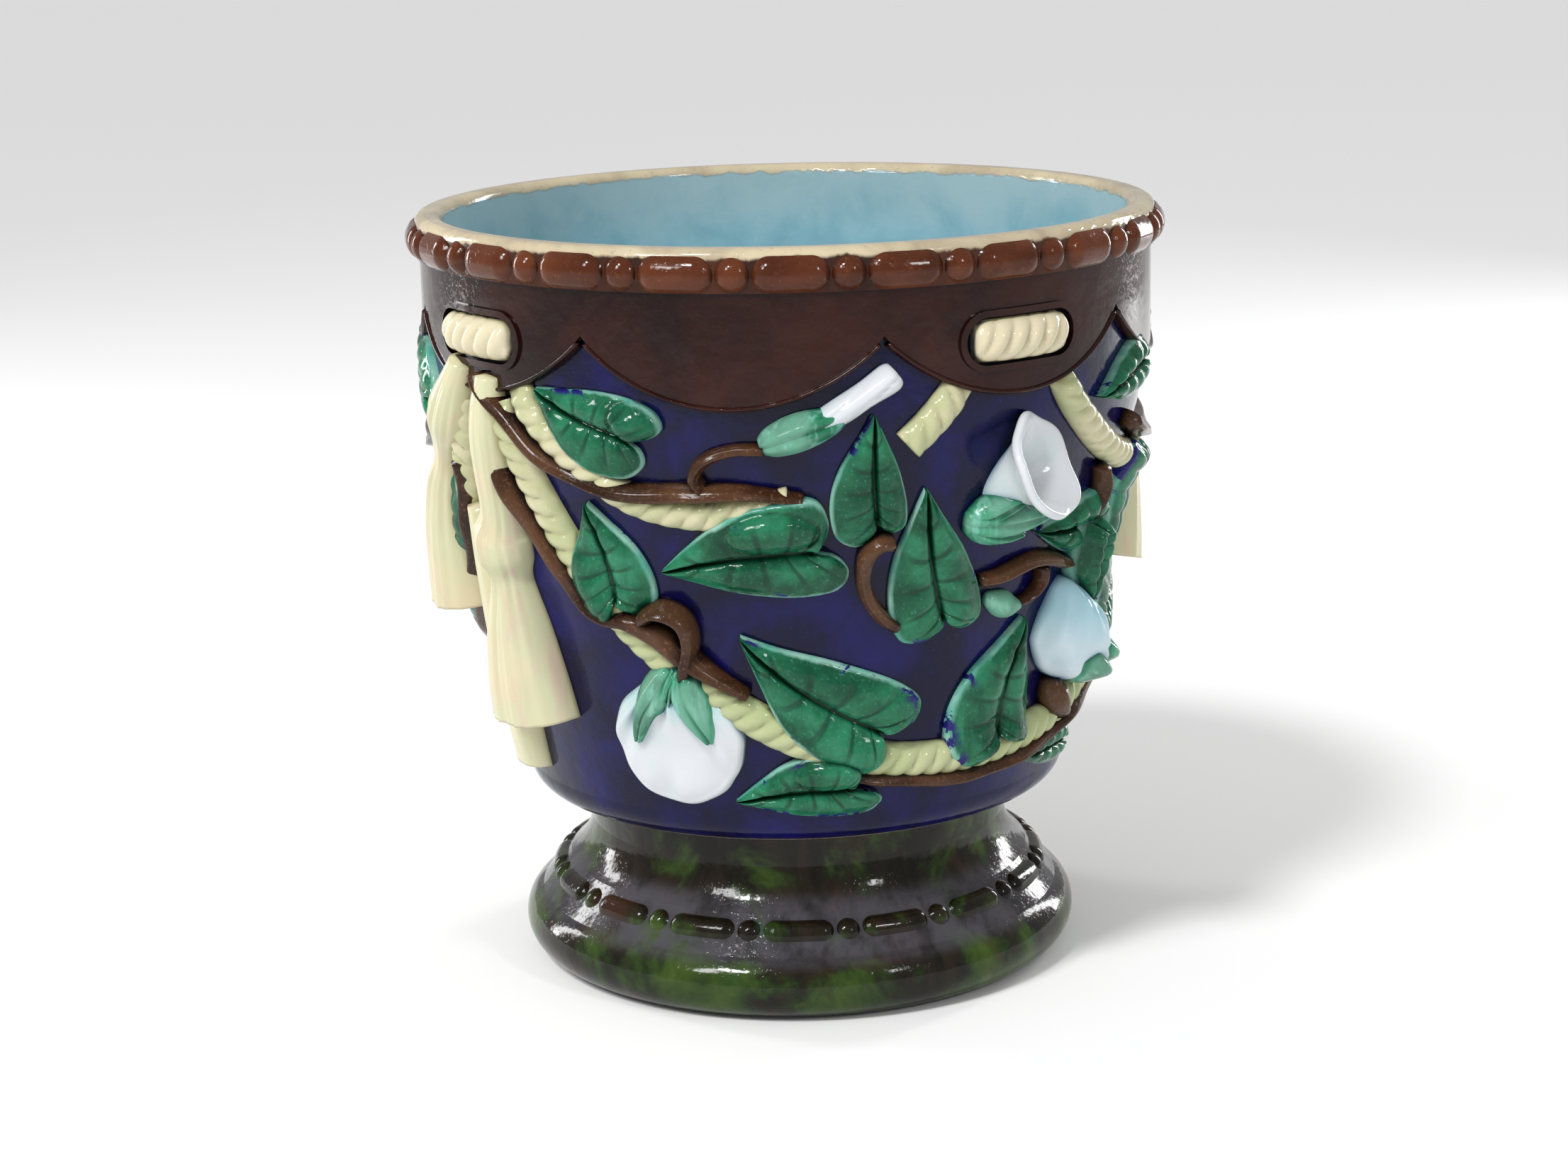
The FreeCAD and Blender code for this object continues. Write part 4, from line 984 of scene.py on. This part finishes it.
DISC_SEPALS = [
    [(-20.9, 176, 10, 8), (-21.6, 172.5, 15, 12), (-24.2, 163, 19, 15.5), (-26.8, 153, 15, 15.5),
     (-28.2, 144, 9, 14), (-28.9, 138.5, 5, 12)],
    [(-19.1, 176, 10, 8), (-19.4, 172.5, 15, 12), (-18.8, 163, 19, 16.0), (-17.2, 153.5, 17, 16.0),
     (-15.6, 145, 11, 14), (-15.0, 140.5, 6, 12)],
    [(-20.0, 176, 9, 9), (-21.2, 169, 10, 13.5), (-21.9, 162, 7, 13.4), (-22.1, 157, 4, 12.0)],
]
dress(joined("disc_sepals", [strip("sepal_%d" % i, path, sepal_lift, 0.9, 16)
                             for i, path in enumerate(DISC_SEPALS)]), "bud_glaze",
      "disc_calyx_left", "disc_calyx_right")
dress(strip("bud_sepals", [(-4.6, 279, 7, 5), (-2.6, 281.5, 14, 9), (1.2, 285.5, 17, 11),
                           (5.4, 289.5, 13, 10.5), (7.5, 292.0, 8, 8)], sepal_lift, 0.9, 20),
      "bud_glaze", "bud_calyx")
dress(strip("bud_petals", [(2, 285, 10, 9), (7, 293.5, 12, 10), (11, 300.8, 12, 10.5),
                           (14.4, 307.0, 13.5, 11), (15.6, 309.4, 10, 8)], furled_lift, 0.9, 20),
      "white_glaze", "bud_flower")
dress(strip("side_sepals", [(59.5, 167, 24, 22), (60.5, 164.5, 29, 25), (63.0, 159.5, 32, 26.5),
                            (66.5, 154.0, 26, 21), (69.5, 149.5, 12, 12)], sepal_lift, 0.9, 28),
      "bud_glaze", "side_calyx")


def bell_shape(u, v):
    """The side flower: a puffed bell, narrow at the top, that leans out to the right."""
    a, b = 2 * v - 1, 1 - 2 * u
    x = a * np.sqrt(1 - b * b / 2)
    y = b * np.sqrt(1 - a * a / 2)
    r = np.hypot(x, y)
    half = 25.0 * (0.45 + 0.55 * np.clip((0.9 - y) / 1.1, 0, 1))
    lift = 27.0 * np.sqrt(np.maximum(1 - r ** 2.6, 0)) * (0.58 + 0.42 * np.clip(x + 0.3, -1, 1))
    lift = lift + (2.1 * np.sin(8 * x + 4 * y) + 0.8 * np.sin(17 * x - 4 * y)) * (1 - r ** 6) * r
    lift = np.where(r > 0.999, BURIED, lift + 0.8)
    height = 173.5 + 27.0 * y - 4.0 * x
    where = 57.0 - 2.5 * y + np.degrees(x * half / wall_radius(height))
    return on_wall(where, height, lift)


dress(pressed("side_petals", 44, 44, bell_shape), "pale_blue_glaze", "side_flower")
dress(strip("small_bud_tip", [(42, 193, 5, 5), (38.6, 194.5, 13, 8), (35.4, 198.5, 8, 5.5),
                              (34.2, 201, 3, 3)], plain_lift, 0.9, 16), "bud_glaze", "small_bud")
TRUMPET_SEPALS = [
    [(28.0, 237.5, 8, 5), (30.0, 237.5, 17, 9), (33.0, 238.0, 21, 12.5), (36.5, 238.5, 18, 14),
     (40.0, 240.0, 11, 15), (42.5, 241.5, 4, 14)],
    [(29.0, 239.5, 8, 6), (31.0, 241.5, 13, 11), (33.4, 246.0, 12, 14), (35.6, 251.0, 8, 16),
     (37.0, 254.5, 3, 15)],
    [(29.0, 236.0, 8, 6), (31.5, 233.0, 12, 10), (35.0, 231.5, 11, 11), (38.5, 231.5, 5, 10)],
]
dress(joined("trumpet_sepals", [strip("trumpet_sepal_%d" % i, path, sepal_lift, 0.9, 20)
                                for i, path in enumerate(TRUMPET_SEPALS)]), "bud_glaze",
      "trumpet_calyx")


# %% The standing trumpet
TRUMPET_MOUTH = np.array([112.0, -141.0, 262.0])
TRUMPET_WAY = np.array([0.80, -0.37, 0.40])


def trumpet_shape(u, v):
    way = TRUMPET_WAY / np.linalg.norm(TRUMPET_WAY)
    side = np.cross(way, [0, 0, 1])
    side /= np.linalg.norm(side)
    over = np.cross(side, way)
    profile = smooth_path([(0, -44), (8, -43), (9.5, -32), (11, -21), (14.5, -11), (20, -4), (23.2, -2.2),
                           (25.0, 0.2), (24.2, 2.6), (21.5, 2.2), (16.0, -2.5), (9.5, -9.5), (5, -16),
                           (2.5, -21), (0, -23)], u)
    around = 2 * np.pi * v
    flare = np.clip((profile[:, 1] + 20) / 20, 0, 1) ** 1.6
    rolled = np.clip(np.cos(around + 0.5), 0, 1) * flare
    radius = profile[:, 0] * (1 + 0.03 * np.sin(5 * around + 0.4) * flare)
    inside = np.clip((u - 0.68) * 6, 0, 1) * np.clip((1 - u) * 6, 0, 1)
    along = profile[:, 1] + 0.8 * np.sin(5 * around + 1.0) * flare - 2.5 * rolled
    along = along + 2.2 * np.abs(np.sin(2.5 * around)) ** 3 * inside
    return (TRUMPET_MOUTH + np.outer(along, way) + np.outer(radius * np.cos(around), side) +
            np.outer(radius * np.sin(around), over))


dress(pressed("trumpet_petals", 60, 64, trumpet_shape, has_rim=False), "white_glaze",
      "trumpet_flower")
print("set the flowers, buds and calyxes")

# %% [markdown]
# ## The hem of the drape
# The scalloped cloth has a thin rolled hem, which catches the light as a paler line.

# %% Rolled hem
def hem_path():
    path = []
    for step in np.linspace(-22.1, 22.1, 17):
        angle = SCALLOP_TURN + step
        path.append((angle, scallop_edge(angle) + 1.3, 3.2, 4.6))
    return path


dress(strip("drape_hem", hem_path(), plain_lift, 1.2, 8, [SCALLOP_STEP * turn for turn in range(SCALLOPS)]),
      "drape_glaze")
